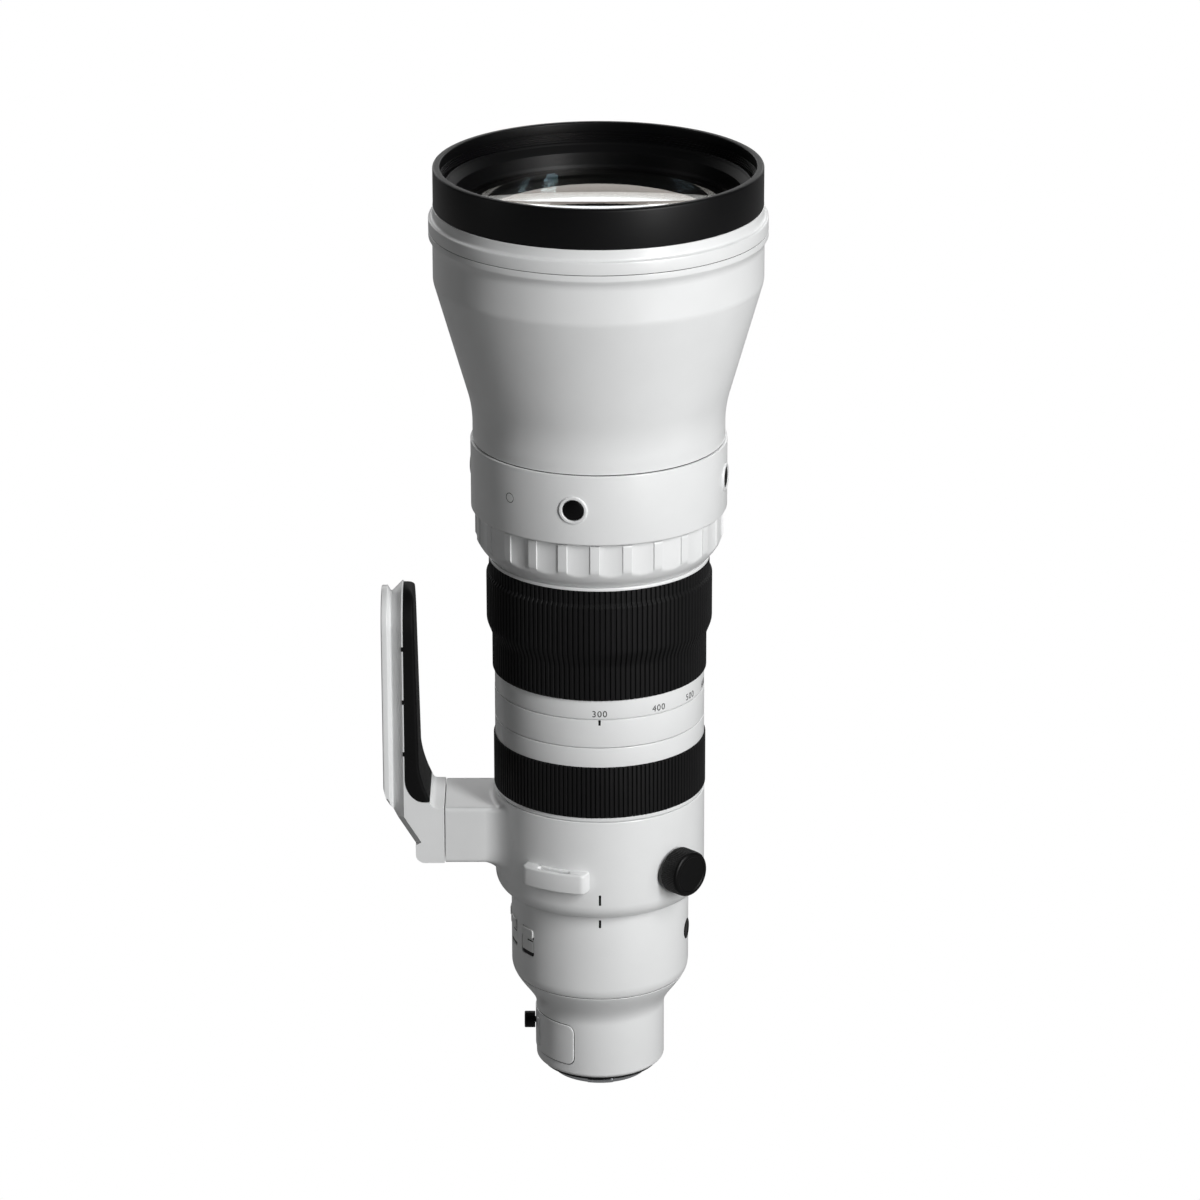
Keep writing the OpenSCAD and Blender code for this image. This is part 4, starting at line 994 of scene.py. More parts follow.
@dataclass
class ControlBand:
    """White band with four hold buttons in raised rims."""

    band: Span = span("control_band")
    ring: Span = span("function_ring")
    bore: float = 58.0
    hub_r: float = 50.0
    hub_bore: float = 47.05
    web: float = 4.5
    gap: float = 0.85
    edge: float = 1.0
    button_r: float = 5.0
    play: float = 0.3
    rim: float = 1.7
    rim_rise: float = 0.6
    rim_depth: float = 2.0
    face_rise: float = 0.2
    dome: float = 0.7
    buttons: int = 4
    disc: tuple[float, float] = (-43.2, 314.5)
    disc_r: float = 2.15
    disc_line: float = 0.35
    disc_rises: tuple[float, float] = (0.03, 0.08)

    def build(self, shop: Workshop) -> None:
        """Builds the band, the rims, the buttons and a bare disc with a printed edge."""
        places = [place_of(f"hold_button_{k}") for k in range(1, self.buttons + 1)]
        z0 = self.ring.z1 + self.gap
        band = shop.blank("control_band_shell", lathe(rounded([
            (self.hub_bore, self.band.z0, 0), (self.hub_r, self.band.z0, 0), (self.hub_r, z0, 0),
            (self.band.r, z0, self.edge), (self.band.r, self.band.z1, 0.35), (self.bore, self.band.z1, 0),
            (self.bore, z0 + self.web, 0), (self.hub_bore, z0 + self.web, 0)])))
        hole = boss(circle(self.button_r + self.play), self.bore - 3, self.band.r + 3, edge=0.1)
        for angle, z in places:
            shop.cut(band, hole.placed(radial(angle, z)))
        shop.dress(band, WHITE_ENAMEL, "barrel", "control_band")
        rims = [self.rim_patch().placed(radial(angle, z)) for angle, z in places]
        shop.make("hold_button_rims", joined(rims), WHITE_ENAMEL, "barrel", "button_bezels")
        for k, (angle, z) in enumerate(places, 1):
            cap, name = self.button_patch().placed(radial(angle, z)), f"hold_button_{k}"
            shop.make(f"hold_button_cap_{k}", cap, BLACK_MOULDED_AND_SLOT_SHADE, name, name)
        edge = self.disc_patch(self.disc_r + self.disc_line, self.disc_rises[0])
        shop.make("band_disc_edge", edge, BLACK_INK_AND_TAB_SHADOW, "barrel")
        shop.make("band_disc", self.disc_patch(self.disc_r, self.disc_rises[1]), WHITE_MOULDED, "barrel")

    def disc_patch(self, radius: float, rise: float) -> Patch:
        """A thin round plate bent round the band."""
        return boss(circle(radius), low=-0.3, high=rise, edge=0.02).wrapped(self.band.r, *self.disc)

    def rim_patch(self) -> Patch:
        """A raised ring with a soft crown.

        Returns:
            The closed ring.
        """
        low, high = self.band.r - self.rim_depth, self.band.r + self.rim_rise
        r0 = self.button_r + self.play
        return lathe(rounded([(r0, low, 0), (r0 + self.rim, low, 0), (r0 + self.rim, high, 0.55),
                              (r0, high, 0.45)]), segments=SMALL_SEGMENTS)

    def button_patch(self) -> Patch:
        """A plunger with a shallow dome: height = face + dome (1 - (r / radius)^2).

        Returns:
            The closed button.
        """
        low, face = self.bore - 2.0, self.band.r + self.face_rise
        across = np.linspace(self.button_r - 0.5, 0, 14)
        dome = face + self.dome * (1 - (across / self.button_r) ** 2)
        side = rounded([(0, low, 0), (self.button_r, low, 0), (self.button_r, face, 0.4),
                        (across[0], dome[0], 0)], closed=False)
        profile = np.vstack([side[:-1], np.stack([across, dome], axis=1)])
        return lathe(profile, closed=False, segments=SMALL_SEGMENTS)


@dataclass
class FunctionRing:
    """White fluted ring that springs back to its middle."""

    ring: Span = span("function_ring")
    bore: float = 50.3
    neck_r: float = 54.1
    skirt: float = 13.6
    bulge: float = 0.7
    shell: float = 3.4
    floor: float = 4.0
    sleeve: float = 2.2
    edge: float = 0.9
    flutes: int = 24
    flute_w: float = 11.6
    flute_step: float = 0.5
    flute_hollow: float = 0.75
    flute_side: float = 0.25
    first: float = 5.5

    def build(self, shop: Workshop) -> None:
        """Builds the fluted ring."""
        shop.make("fluted_ring", self.patch(), WHITE_ENAMEL, "function_ring", "function_ring")

    def patch(self) -> Patch:
        """The ring's profile, hollowed by flutes with steep sides.

        At an angle t from a flute's middle its floor lies flute_step + flute_hollow (1 - (t / half)^2)
        inside the crown, and the surface takes the lesser of that and the plain profile.

        Returns:
            The closed ring.
        """
        profile = self.profile()
        pitch, half = 360 / self.flutes, math.degrees(self.flute_w / 2 / self.ring.r)
        land = np.linspace(half, pitch - half, 7)
        floor = np.linspace(self.flute_side - half, half - self.flute_side, 17)
        off = np.concatenate([floor, land])
        inside = np.arange(len(off)) < len(floor)
        deep = self.flute_step + self.flute_hollow * (1 - (off / half) ** 2)
        wall = np.tile(np.where(inside, self.ring.r - deep, 2 * self.ring.r), self.flutes)[:, None]
        angles = (np.arange(self.flutes)[:, None] * pitch + off + self.first).ravel()
        plain = profile[:, 0][None]
        r = np.where(plain > self.neck_r, np.minimum(plain, wall), plain)
        return grid(around(angles, r, profile[:, 1]), True, True)

    def profile(self) -> np.ndarray:
        """Neck, bowed flank, straight crown with round edges, and the hollow under the crown.

        Returns:
            Rows of radius and height.
        """
        z0, z1, r = self.ring.z0, self.ring.z1, self.ring.r
        z_skirt = z1 - self.skirt
        t = np.linspace(0, 1, 14)[:, None]
        low, high = np.array([self.neck_r, z0 + 0.5]), np.array([r, z_skirt])
        side = high - low
        square = np.array([side[1], -side[0]])
        flank = low + side * t + 4 * self.bulge * t * (1 - t) * square / np.linalg.norm(side)
        crown = np.linspace(z_skirt, z1, 8)[1:-1]
        return rounded([
            (self.bore, z0, 0), (self.neck_r - 0.5, z0, 0), *[(x, z, 0) for x, z in flank],
            *[(r, z, 0) for z in crown], (r, z1, self.edge), (r - self.shell, z1, 0.4),
            (r - self.shell, z_skirt + self.floor, 0), (self.bore + self.sleeve, z_skirt + self.floor, 0),
            (self.bore + self.sleeve, z1, 0), (self.bore, z1, 0)])


# Ribbed grips: shares of half the pitch that crest and slope take, length of a rib's rounded end,
# depth of the grooves, radii of the grips' seat and bore
RIB_CREST = 0.5
RIB_SLOPE = 0.38
RIB_END = 0.7
RIB_DEPTH = 0.8
SEAT_R = 50.6
GRIP_BORE = SEAT_R + 0.05


def ribbed(profile: np.ndarray, bore: float, ribs: int, depth: float, steps: int = 12) -> Patch:
    """A sleeve with ribs along it.

    With w the distance from the middle of a rib as a share of half the pitch, the groove's share
    g climbs smoothly from 0 at w = 0.5 to 1 at w = 0.88. The radius is profile - depth g, and near
    both ends it falls to the groove's floor along a quarter ellipse.

    Args:
        profile: Rows of radius and height of the ribs' crests, from low to high.
        bore: Inner radius.
        ribs: Number of ribs.
        depth: Depth of the grooves.
        steps: Points across a rib and its groove.

    Returns:
        The closed sleeve.
    """
    r, z = profile.T
    angles = np.arange(ribs * steps) * 360 / (ribs * steps)
    w = np.abs(np.arange(ribs * steps) % steps / steps - 0.5) * 2
    t = np.clip((w - RIB_CREST) / RIB_SLOPE, 0, 1)
    groove = (t * t * (3 - 2 * t))[:, None]
    near = np.clip(np.minimum(z - z[0], z[-1] - z) / RIB_END, 0, 1)
    fall = 1 - np.sqrt(1 - (1 - near) ** 2)
    outer = r - depth * np.maximum(groove, fall)
    inner = np.full((len(angles), 1), bore)
    heights = np.concatenate([[z[0]], z, [z[-1]]])
    return grid(around(angles, np.hstack([inner, outer, inner]), heights), True, True)


@dataclass
class TurningRings:
    """Zoom ring and focus ring with their ribbed rubber grips, and the index barrel between them."""

    zoom: Span = span("zoom_ring")
    zoom_grip: Span = span("zoom_grip")
    focus: Span = span("focus_ring")
    focus_grip: Span = span("focus_grip")
    index: Span = span("index_barrel")
    bore: float = 47.3
    scale_step: float = 0.1
    rear_r: float = 53.0
    bulge_from: float = 18.3
    bulge_to: float = 25.3
    front_w: float = 6.8
    front_slope: float = 1.5
    zoom_ribs: int = 132
    focus_ribs: int = 144
    index_seam: float = 0.15

    def build(self, shop: Workshop) -> None:
        """Builds the three rings and the two grips."""
        shop.make("zoom_scale_ring", lathe(self.zoom_profile()), WHITE_ENAMEL, "zoom_ring", "zoom_ring")
        grip = ribbed(self.grip_profile(), GRIP_BORE, self.zoom_ribs, RIB_DEPTH)
        shop.make("zoom_rubber", grip, GRIP_RUBBER_AND_SEAM_SHADE, "zoom_ring", "zoom_grip")
        shop.make("focus_barrel", lathe(self.focus_profile()), WHITE_ENAMEL, "focus_ring", "focus_ring")
        z0, z1, r = self.focus_grip.z0, self.focus_grip.z1, self.focus_grip.r
        ends = np.array([0, 0.2, 0.45, RIB_END])
        heights = np.concatenate([z0 + ends, z1 - ends[::-1]])
        grip = ribbed(np.stack([0 * heights + r, heights], axis=1), GRIP_BORE, self.focus_ribs, RIB_DEPTH)
        shop.make("focus_rubber", grip, GRIP_RUBBER_AND_SEAM_SHADE, "focus_ring", "focus_grip")
        shop.make("index_sleeve", lathe(self.index_profile()), WHITE_ENAMEL, "barrel", "index_barrel")

    def index_profile(self) -> np.ndarray:
        """A plain sleeve with a fine step at both ends, where its seams are.

        Returns:
            Rows of radius and height.
        """
        z0, z1, r = self.index.z0, self.index.z1, self.index.r
        low, high = z0 + self.index_seam, z1 - self.index_seam
        return rounded([(self.bore, z0, 0), (r - 1, z0, 0), (r - 1, low, 0), (r, low, 0.2), (r, high, 0.2),
                        (r - 1, high, 0), (r - 1, z1, 0), (self.bore, z1, 0)])

    def zoom_profile(self) -> np.ndarray:
        """Scale band, seat of the grip, and the lip in front of it.

        Returns:
            Rows of radius and height.
        """
        z0, z1, g0, g1 = self.zoom.z0, self.zoom.z1, self.zoom_grip.z0, self.zoom_grip.z1
        scale_r = self.index.r - self.scale_step
        return rounded([(self.bore, z0, 0), (scale_r, z0, 0.35), (scale_r, g0, 0.2), (SEAT_R, g0, 0),
                        (SEAT_R, g1, 0), (self.zoom.r, g1, 0.2), (self.zoom.r, z1, 0.5), (self.bore, z1, 0)])

    def focus_profile(self) -> np.ndarray:
        """White bands on both sides of the grip's seat.

        Returns:
            Rows of radius and height.
        """
        z0, z1, g0, g1, r = self.focus.z0, self.focus.z1, self.focus_grip.z0, self.focus_grip.z1, self.index.r
        return rounded([(self.bore, z0, 0), (r, z0, 0.35), (r, g0, 0.2), (SEAT_R, g0, 0), (SEAT_R, g1, 0),
                        (r, g1, 0.2), (r, z1, 0.35), (self.bore, z1, 0)])

    def grip_profile(self) -> np.ndarray:
        """Crests of the zoom grip: slim rear, bulge, and a lower band at the front.

        Returns:
            Rows of radius and height.
        """
        z0, z1, r = self.zoom_grip.z0, self.zoom_grip.z1, self.zoom_grip.r
        front = self.zoom.r
        band = z1 - self.front_w
        ends = [0.2, 0.45, RIB_END]
        crest = rounded([(self.rear_r, z0 + RIB_END, 0), (self.rear_r, z0 + self.bulge_from, 9),
                         (r, z0 + self.bulge_to, 9), (r, band - self.front_slope, 1.2), (front, band, 1.2),
                         (front, z1 - RIB_END, 0)], closed=False)
        low = [(self.rear_r, z0)] + [(self.rear_r, z0 + e) for e in ends[:2]]
        high = [(front, z1 - e) for e in ends[1::-1]] + [(front, z1)]
        return np.vstack([low, crest, high])


# Points along the outline of a strap lug and of its slot
LUG_POINTS = 160


@dataclass
class TripodCollar:
    """Tripod collar with its arm, clamp knob and strap lugs."""

    collar: Span = span("collar")
    bore: float = 44.3
    lip: float = 0.9
    round_z: float = 8.6
    arm_w: float = 41.5
    arm_rise: float = 18.8
    arm_h: float = 29.5
    arm_corner: float = 1.6
    arm_edge: float = 0.5
    fillets: tuple[float, float, float] = (3.6, 10.0, 9.0)
    boss_r: float = 8.5
    boss_rise: float = 1.4
    boss_depth: float = 2.0
    knob_r: float = 11.6
    knob_h: float = 10.0
    knob_gap: float = 0.3
    knob_ribs: int = 72
    knob_rib: float = 0.12
    stem_r: float = 3.0
    stem_rise: float = 3.6
    face_depth: float = 0.25
    face_in: tuple[float, float] = (2.6, 2.9)
    side_in: float = 0.15
    rib_steps: int = 6
    lug_angles: tuple[float, float] = (-24.7, -155.3)
    lug_span: float = 34.0
    lug_rise: float = 16.7
    lug_h: float = 10.4
    lug_reach: float = 5.7
    slot_w: float = 16.0
    slot_from: float = 1.3
    slot_h: float = 2.8
    slot_corner: float = 0.8
    lug_edge: float = 1.1
    lug_corner: float = 3.0
    lug_bend: float = 0.8
    lug_root: float = 1.0
    slot_edge: float = 0.5

    def build(self, shop: Workshop) -> None:
        """Builds the collar with its arm, the lugs and the knob."""
        knob_angle, knob_z = place_of("clamp_knob")
        whole = shop.blank("collar_body", lathe(self.ring_profile()))
        shop.join(whole, self.arm())
        low, top, r = self.bore + self.boss_depth, self.collar.r + self.boss_rise, self.boss_r
        profile = rounded([(0, low, 0), (r, low, 0), (r, top, 0.6), (0, top, 0)], closed=False)
        seat = lathe(profile, closed=False, segments=SMALL_SEGMENTS)
        shop.join(whole, seat.placed(radial(knob_angle, knob_z)))
        shop.dress(whole, WHITE_ENAMEL, "collar", "collar")
        lugs = [self.lug(angle) for angle in self.lug_angles]
        shop.make("strap_eyelets", joined(lugs), WHITE_ENAMEL, "collar", "strap_lugs")
        knob = self.knob().placed(radial(knob_angle, knob_z))
        shop.make("clamp_knob_cap", knob, BLACK_MOULDED_AND_SLOT_SHADE, "clamp_knob", "clamp_knob")

    def ring_profile(self) -> np.ndarray:
        """A thick ring whose rear end rounds in to the bore along a quarter ellipse.

        Returns:
            Rows of radius and height.
        """
        z0, z1, r = self.collar.z0, self.collar.z1, self.collar.r
        t = np.radians(np.linspace(0, 90, 24))
        low = self.bore + self.lip
        tail = np.stack([low + (r - low) * np.sin(t), z0 + self.round_z * (1 - np.cos(t))], axis=1)
        rest = [(r, z0 + self.round_z, 0), (r, z1, 0.5), (self.bore, z1, 0), (self.bore, z0, 0)]
        return np.vstack([tail[:-1], rounded(rest, closed=False)])

    def arm(self) -> Patch:
        """The arm between collar and foot.

        A rounded rectangle in Y and Z is carried from the seam with the foot to the collar. Near
        the collar it flares along its normals through a quarter circle, flare = f (1 - cos t) at
        the distance f (1 - sin t) from the collar's wall, whose radius f differs for the top, the
        bottom and the sides.

        Returns:
            The closed arm.
        """
        z0 = self.collar.z0 + self.arm_rise
        outline = oblong(self.arm_w, self.arm_h, self.arm_corner, count=160)
        normal = outward(outline)
        y, z = outline[:, 0], outline[:, 1] + z0 + self.arm_h / 2
        top, low, side = self.fillets
        flare = (top * np.maximum(normal[:, 1], 0) ** 2 + low * np.minimum(normal[:, 1], 0) ** 2
                 + side * normal[:, 0] ** 2)
        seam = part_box("collar")[0].x / MM
        e, t = self.arm_edge, np.radians(np.linspace(0, 90, 6))
        rows = [(seam + e * (1 - math.cos(a)) + 0 * y, -e * (1 - math.sin(a)) + 0 * y) for a in t]
        for a in np.radians(np.linspace(0, 90, 12)):
            out = flare * (1 - math.cos(a))
            wall = np.sqrt(self.collar.r**2 - (y + normal[:, 0] * out) ** 2)
            rows.append((-wall - flare * (1 - math.sin(a)), out))
        rows.append((rows[-1][0] + 3, flare))
        across = np.stack([x for x, _ in rows], axis=1)
        out = np.stack([o for _, o in rows], axis=1)
        aside, above = y[:, None] + normal[:, :1] * out, z[:, None] + normal[:, 1:] * out
        return capped(np.stack([across, aside, above], axis=-1))

    def knob(self) -> Patch:
        """A round knob: fine ribs, radius + rib cos(ribs x angle), fade out towards its round rim.

        Returns:
            The closed knob.
        """
        low = self.collar.r + self.boss_rise + self.knob_gap
        high, stem_low, stem_r = low + self.knob_h, self.bore + self.stem_rise, self.stem_r
        side, face = self.knob_r - self.side_in, high - self.face_depth
        profile = rounded([
            (0, stem_low, 0), (stem_r, stem_low, 0), (stem_r, low, 0), (side, low, 0.5), (side, high, 1.6),
            (self.knob_r - self.face_in[0], high, 0.4), (self.knob_r - self.face_in[1], face, 0.2),
            (0, face, 0)], closed=False)
        count = self.knob_ribs * self.rib_steps
        angles = np.arange(count) * 360 / count
        r, z = profile.T
        share = np.clip((r - self.knob_r + 0.3) / 0.12, 0, 1)
        wave = self.knob_rib * np.cos(np.radians(angles) * self.knob_ribs)[:, None] * share
        return grid(around(angles, r + wave, z), True, False)

    def lug(self, angle: float) -> Patch:
        """A strap lug: a ring-shaped plate between its outline and its slot.

        Its rows run over the rounded outer edge and then over the slot's, so the surface closes on
        itself in both directions.

        Args:
            angle: Its angle round the optical axis.

        Returns:
            The closed lug.
        """
        r, half = self.collar.r + self.lug_reach, self.lug_span / 2
        end, inner, corner = math.sqrt(r**2 - half**2), self.bore + self.lug_root, self.lug_corner
        bend = math.degrees(math.asin(half / r)) * self.lug_bend
        rim = [(r * math.sin(a), -r * math.cos(a), 0) for a in np.radians(np.linspace(-bend, bend, 13))]
        sides = [(-half, -inner, 0), (-half, -end, corner), *rim, (half, -end, corner), (half, -inner, 0)]
        outer = resampled(rounded(sides), LUG_POINTS)
        near, far = self.collar.r + self.slot_from, self.collar.r + self.slot_from + self.slot_h
        angles = np.linspace(-self.slot_w / 2, self.slot_w / 2, 9) / self.collar.r
        corners = [self.slot_corner, *[0] * (len(angles) - 2), self.slot_corner]
        low = [(far * math.sin(a), -far * math.cos(a), c) for a, c in zip(angles, corners)]
        high = [(near * math.sin(a), -near * math.cos(a), c) for a, c in zip(angles[::-1], corners)]
        slot = resampled(rounded(high[-1:] + low + high[:-1]), LUG_POINTS)
        z0 = self.collar.z0 + self.lug_rise
        z1, edge, lip = z0 + self.lug_h, self.lug_edge, self.slot_edge
        turns = np.radians(np.linspace(0, 90, 6))
        out, into = outward(outer), outward(slot)
        rows = [(outer - out * edge * (1 - math.sin(a)), z0 + edge * (1 - math.cos(a))) for a in turns]
        rows += [(outer - out * edge * (1 - math.cos(a)), z1 - edge * (1 - math.sin(a))) for a in turns]
        rows += [(slot + into * lip * (1 - math.sin(a)), z1 - lip * (1 - math.cos(a))) for a in turns]
        rows += [(slot + into * lip * (1 - math.cos(a)), z0 + lip * (1 - math.sin(a))) for a in turns]
        flat = np.stack([p for p, _ in rows], axis=1)
        height = np.broadcast_to([h for _, h in rows], flat.shape[:2])[..., None]
        turn = np.array(Matrix.Rotation(math.radians(angle), 4, "Z"))
        return grid(np.concatenate([flat, height], axis=2), True, True).placed(turn)


def slab(outline: np.ndarray, half: float) -> Patch:
    """A plate along Y from an outline in X and Z that runs counter-clockwise seen from -Y.

    Args:
        outline: The closed outline.
        half: Half of the plate's thickness.

    Returns:
        The closed plate.
    """
    return capped(np.stack([np.insert(outline, 1, y, axis=1) for y in (half, -half)], axis=1))


@dataclass
class DovetailFoot:
    """Foot with a dovetail rail that runs round its end, and the rubber pad on its inner side."""

    rail: tuple[Corner, ...] = ((0.0, 18.45, 0.8), (3.0, 18.45, 0.4), (4.8, 15.45, 0.6), (10.2, 20.75, 0.3))
    half: float = 20.75
    arm_low: float = 113.15
    arm_h: float = 29.5
    corner: float = 1.6
    seam_gap: float = 0.2
    heel: tuple[Corner, ...] = (
        (-108.5, 156.4, 0.0), (-106.1, 146.2, 2.0), (-91.7, 122.9, 1.2), (-91.7, 113.15, 4.5))
    lower_from: float = -100.0
    bevel: float = 3.2
    crease: float = 9.0
    curve: tuple[float, float] = (9.5, 12.5)
    curve_x: float = -96.8
    top_x: float = -96.6
    ledge_rise: float = 2.85
    ledge_in: float = 6.9
    pad_half: float = 20.15
    pad_t: float = 5.2
    pad_bend: tuple[float, float] = (7.2, 19.15)
    pad_bow: float = 0.8
    pad_tip: float = 1.2
    pad_edge: float = 1.6
    pad_top: float = 5.0
    pad_fine: float = 24.0
    pad_rows: tuple[float, float] = (190.0, 215.0)
    hole_z: tuple[float, float] = (-35.5, -65.5)
    hole_r: tuple[float, float] = (3.97, 2.55)
    thread: tuple[float, float] = (0.45, 8.0)
    mouth: tuple[float, float, float] = (1.4, 0.9, 0.2)
    screw_r: float = 4.2
    screw_bore: float = 4.4
    screw_head: float = 4.0
    screw_reach: float = 60.0
    nub_rows: tuple[float, float, float] = (171.5, 199.0, 227.0)
    nub_size: tuple[float, float, float] = (1.5, 2.4, 0.3)

    def __post_init__(self) -> None:
        """Reads the foot's place from its CAD box."""
        low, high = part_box("foot")
        self.face_x, self.seam_x, self.top = low.x / MM, high.x / MM - self.seam_gap, high.z / MM
        self.turn_z = self.top - self.half
        self.arm_top = self.arm_low + self.arm_h
        self.ledge_z = self.arm_top + self.ledge_rise

    def build(self, shop: Workshop) -> None:
        """Builds the foot with its holes, and the pad."""
        foot = shop.blank("foot_casting", self.bar())
        shop.shape(foot, slab(self.side(), 2 * self.half), "INTERSECT")
        for way in (1, -1):
            shop.cut(foot, self.rounder(way, 1, self.seam_x - self.ledge_in))
            shop.cut(foot, self.rounder(way, -1, self.lower_from))
            shop.cut(foot, self.beveller(way))
        turn = np.array(Matrix.Rotation(math.radians(90), 4, "Y"))
        for rise, r in zip(self.hole_z, self.hole_r):
            hole = lathe(self.threaded(r), closed=False, segments=64).placed(turn)
            hole.points += [self.face_x, 0, self.top + rise]
            shop.cut(foot, hole)
        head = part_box("foot_screws")
        for y in (head[0].y / MM + self.screw_r, head[1].y / MM - self.screw_r):
            bore = boss(circle(self.screw_bore), low=-self.screw_reach, high=0, edge=0.1).placed(turn)
            bore.points += [head[0].x / MM + self.screw_head, y, (head[0].z + head[1].z) / 2 / MM]
            shop.cut(foot, bore)
        foot.data.set_sharp_from_angle(angle=math.radians(self.crease))
        shop.dress(foot, WHITE_ENAMEL, "collar", "foot")
        nubs = [self.nub(z, way) for z in self.nub_rows for way in (1, -1)]
        shop.make("foot_rubber_pad", joined([self.pad(), *nubs]), PAD_RUBBER, "collar", "foot_pad")

    def threaded(self, r: float) -> np.ndarray:
        """A threaded hole's profile: a row of V grooves below a chamfered mouth.

        Args:
            r: Radius of the hole.

        Returns:
            Rows of radius and height.
        """
        depth, end = self.thread
        z = np.linspace(-1, end, 19)
        wide = r - depth * (np.arange(len(z)) % 2)
        wide[: len(self.mouth)] = r + np.array(self.mouth)
        return np.vstack([[(0, -1)], np.stack([wide, z], axis=1), [(0, end)]])

    def bar(self) -> Patch:
        """The dovetail section, carried up the bar and turned round its end.

        Each row of the section gives an outline of its half width w: two upright sides and, about
        the centre of the end, the half circle of radius w.

        Returns:
            The closed bar.
        """
        rows = rounded([(0, 10, 0), *self.rail, (self.seam_x - self.face_x + 1, self.half, 0)], closed=False)
        a = np.radians(np.linspace(0, 180, 73))
        across = np.concatenate([[1], np.cos(a), [-1]])[:, None]
        up = np.concatenate([[0], np.sin(a), [0]])[:, None]
        x, w = rows.T
        y, z = across * w, self.turn_z + up * w
        z[[0, -1]] = self.arm_low - 1
        return capped(np.stack([x + self.face_x + 0 * y, y, z], axis=-1))

    def inner(self) -> np.ndarray:
        """Inner side of the bar, upwards: a quarter ellipse from the pad's ledge, then straight.

        Returns:
            Rows of X and Z.
        """
        t = np.radians(np.linspace(90, 0, 24))
        curve = np.stack([self.curve_x + self.curve[0] * (1 - np.cos(t)),
                          self.ledge_z + self.curve[1] * (1 - np.sin(t))], axis=1)
        return np.vstack([curve, [(self.top_x, self.top + 1)]])

    def side(self) -> np.ndarray:
        """The foot seen from the side: block at the seam, ledge with a hollow fillet, bar, slanting heel.

        Returns:
            Rows of X and Z.
        """
        r, ledge = self.ledge_rise, self.seam_x - self.ledge_in
        t = np.radians(np.linspace(270, 180, 12))
        fillet = np.stack([ledge + r + r * np.cos(t), self.ledge_z + r * np.sin(t)], axis=1)
        corners = [(x, z, 0.0) for line in (fillet, self.inner()) for x, z in line]
        return rounded([(self.seam_x, self.arm_low, 0.5), (self.seam_x, self.arm_top, 0.5), *corners,
                        (self.heel[0][0], self.top + 1, 0), *self.heel])

    def rounder(self, way: int, up: int, start: float) -> Patch:
        """What rounds a long edge of the block: a bar along X whose section lies outside the edge's arc.

        Args:
            way: Side of the foot, 1 for +Y.
            up: 1 for the upper edge, -1 for the lower one.
            start: Where the bar starts; it ends beyond the seam.

        Returns:
            The cutter.
        """
        c, z = self.corner, self.arm_top if up > 0 else self.arm_low
        t = np.radians(np.linspace(90, 0, 8))
        arc = np.stack([way * (self.half - c + c * np.cos(t)), z + up * (c * np.sin(t) - c)], axis=1)
        side, beyond = way * (self.half + 2), z + up * 5
        far = [(side, z - up * c), (side, beyond), (arc[0, 0], beyond)]
        section = np.vstack([arc, far])
        half = (self.seam_x + 1 - start) / 2
        bar = slab(section[::-1] if way * up > 0 else section, half)
        bar = bar.placed(np.array(Matrix.Rotation(math.radians(90), 4, "Z")))
        bar.points[:, 0] += start + half
        return bar

    def beveller(self, way: int) -> Patch:
        """What bevels a lower edge of the heel: a three-sided bar along its slope.

        Args:
            way: Side of the foot, 1 for +Y.

        Returns:
            The cutter.
        """
        (x0, z0, _), (x1, z1, _) = self.heel[1:3]
        long = math.hypot(x1 - x0, z1 - z0)
        nx, nz = (z1 - z0) / long, (x0 - x1) / long
        c, h = self.bevel, self.half
        section = np.array([(-c - 1.5, way * (h + 1.5)), (1.5, way * (h - c - 1.5)), (4, way * (h + 4))])
        x, z = (x0 + x1) / 2, (z0 + z1) / 2
        place = np.array([[nx, nz, 0, x], [0, 0, 1, 0], [nz, -nx, 0, z], [0, 0, 0, 1]])
        return slab(section if way > 0 else section[::-1], long / 2 + 0.3).placed(place)

    def pad(self) -> Patch:
        """The pad: a round-edged section between the foot's inner side and the pad's own face.

        Its half width is w up to the centre of the foot's end and sqrt(w^2 - u^2) at u above it.
        Its face bows between the tip on the ledge and the bend, and is straight above that.

        Returns:
            The closed pad.
        """
        w, e = self.pad_half, self.pad_edge
        low, tip = self.ledge_z + 0.05, self.seam_x - self.ledge_in - 0.3
        end = self.turn_z + w * np.sin(np.radians(np.linspace(0, 89, 40)))
        z = np.concatenate([np.linspace(low, self.ledge_z + self.pad_fine, 48), self.pad_rows, end])
        half = np.sqrt(np.maximum(w**2 - np.maximum(z - self.turn_z, 0) ** 2, 0))[:, None]
        line = self.inner()
        back = np.interp(z, line[:, 1], line[:, 0]) + 0.05
        share = np.linspace(0, 1, 16)
        bend = (self.curve_x + self.pad_bend[0], self.ledge_z + self.pad_bend[1])
        rise = bend[1] - self.ledge_z - self.pad_tip
        face_z = np.append(self.ledge_z + self.pad_tip + rise * share, self.top)
        face_x = np.append(tip + (bend[0] - tip) * share - 4 * self.pad_bow * share * (1 - share),
                           self.top_x + self.pad_t)
        face = np.interp(z, face_z, face_x)
        near = np.maximum(self.pad_top - (z[-1] - z), 0)
        face = np.maximum(face - self.pad_top + np.sqrt(np.maximum(self.pad_top**2 - near**2, 0)), back + 0.4)
        t = np.radians(np.linspace(0, 90, 7))
        depth = np.minimum(e, face - back - 0.2)[:, None]
        inset = np.minimum(e, half * 0.7) * (1 - np.cos(t))
        low_x, low_y = face[:, None] - depth * (1 - np.sin(t)), -half + inset
        x = np.hstack([low_x, low_x[:, ::-1], back[:, None], back[:, None]])
        y = np.hstack([low_y, -low_y[:, ::-1], half, -half])
        points = np.stack([x, y, np.broadcast_to(z[:, None], x.shape)], axis=-1).transpose(1, 0, 2)
        return capped(points)

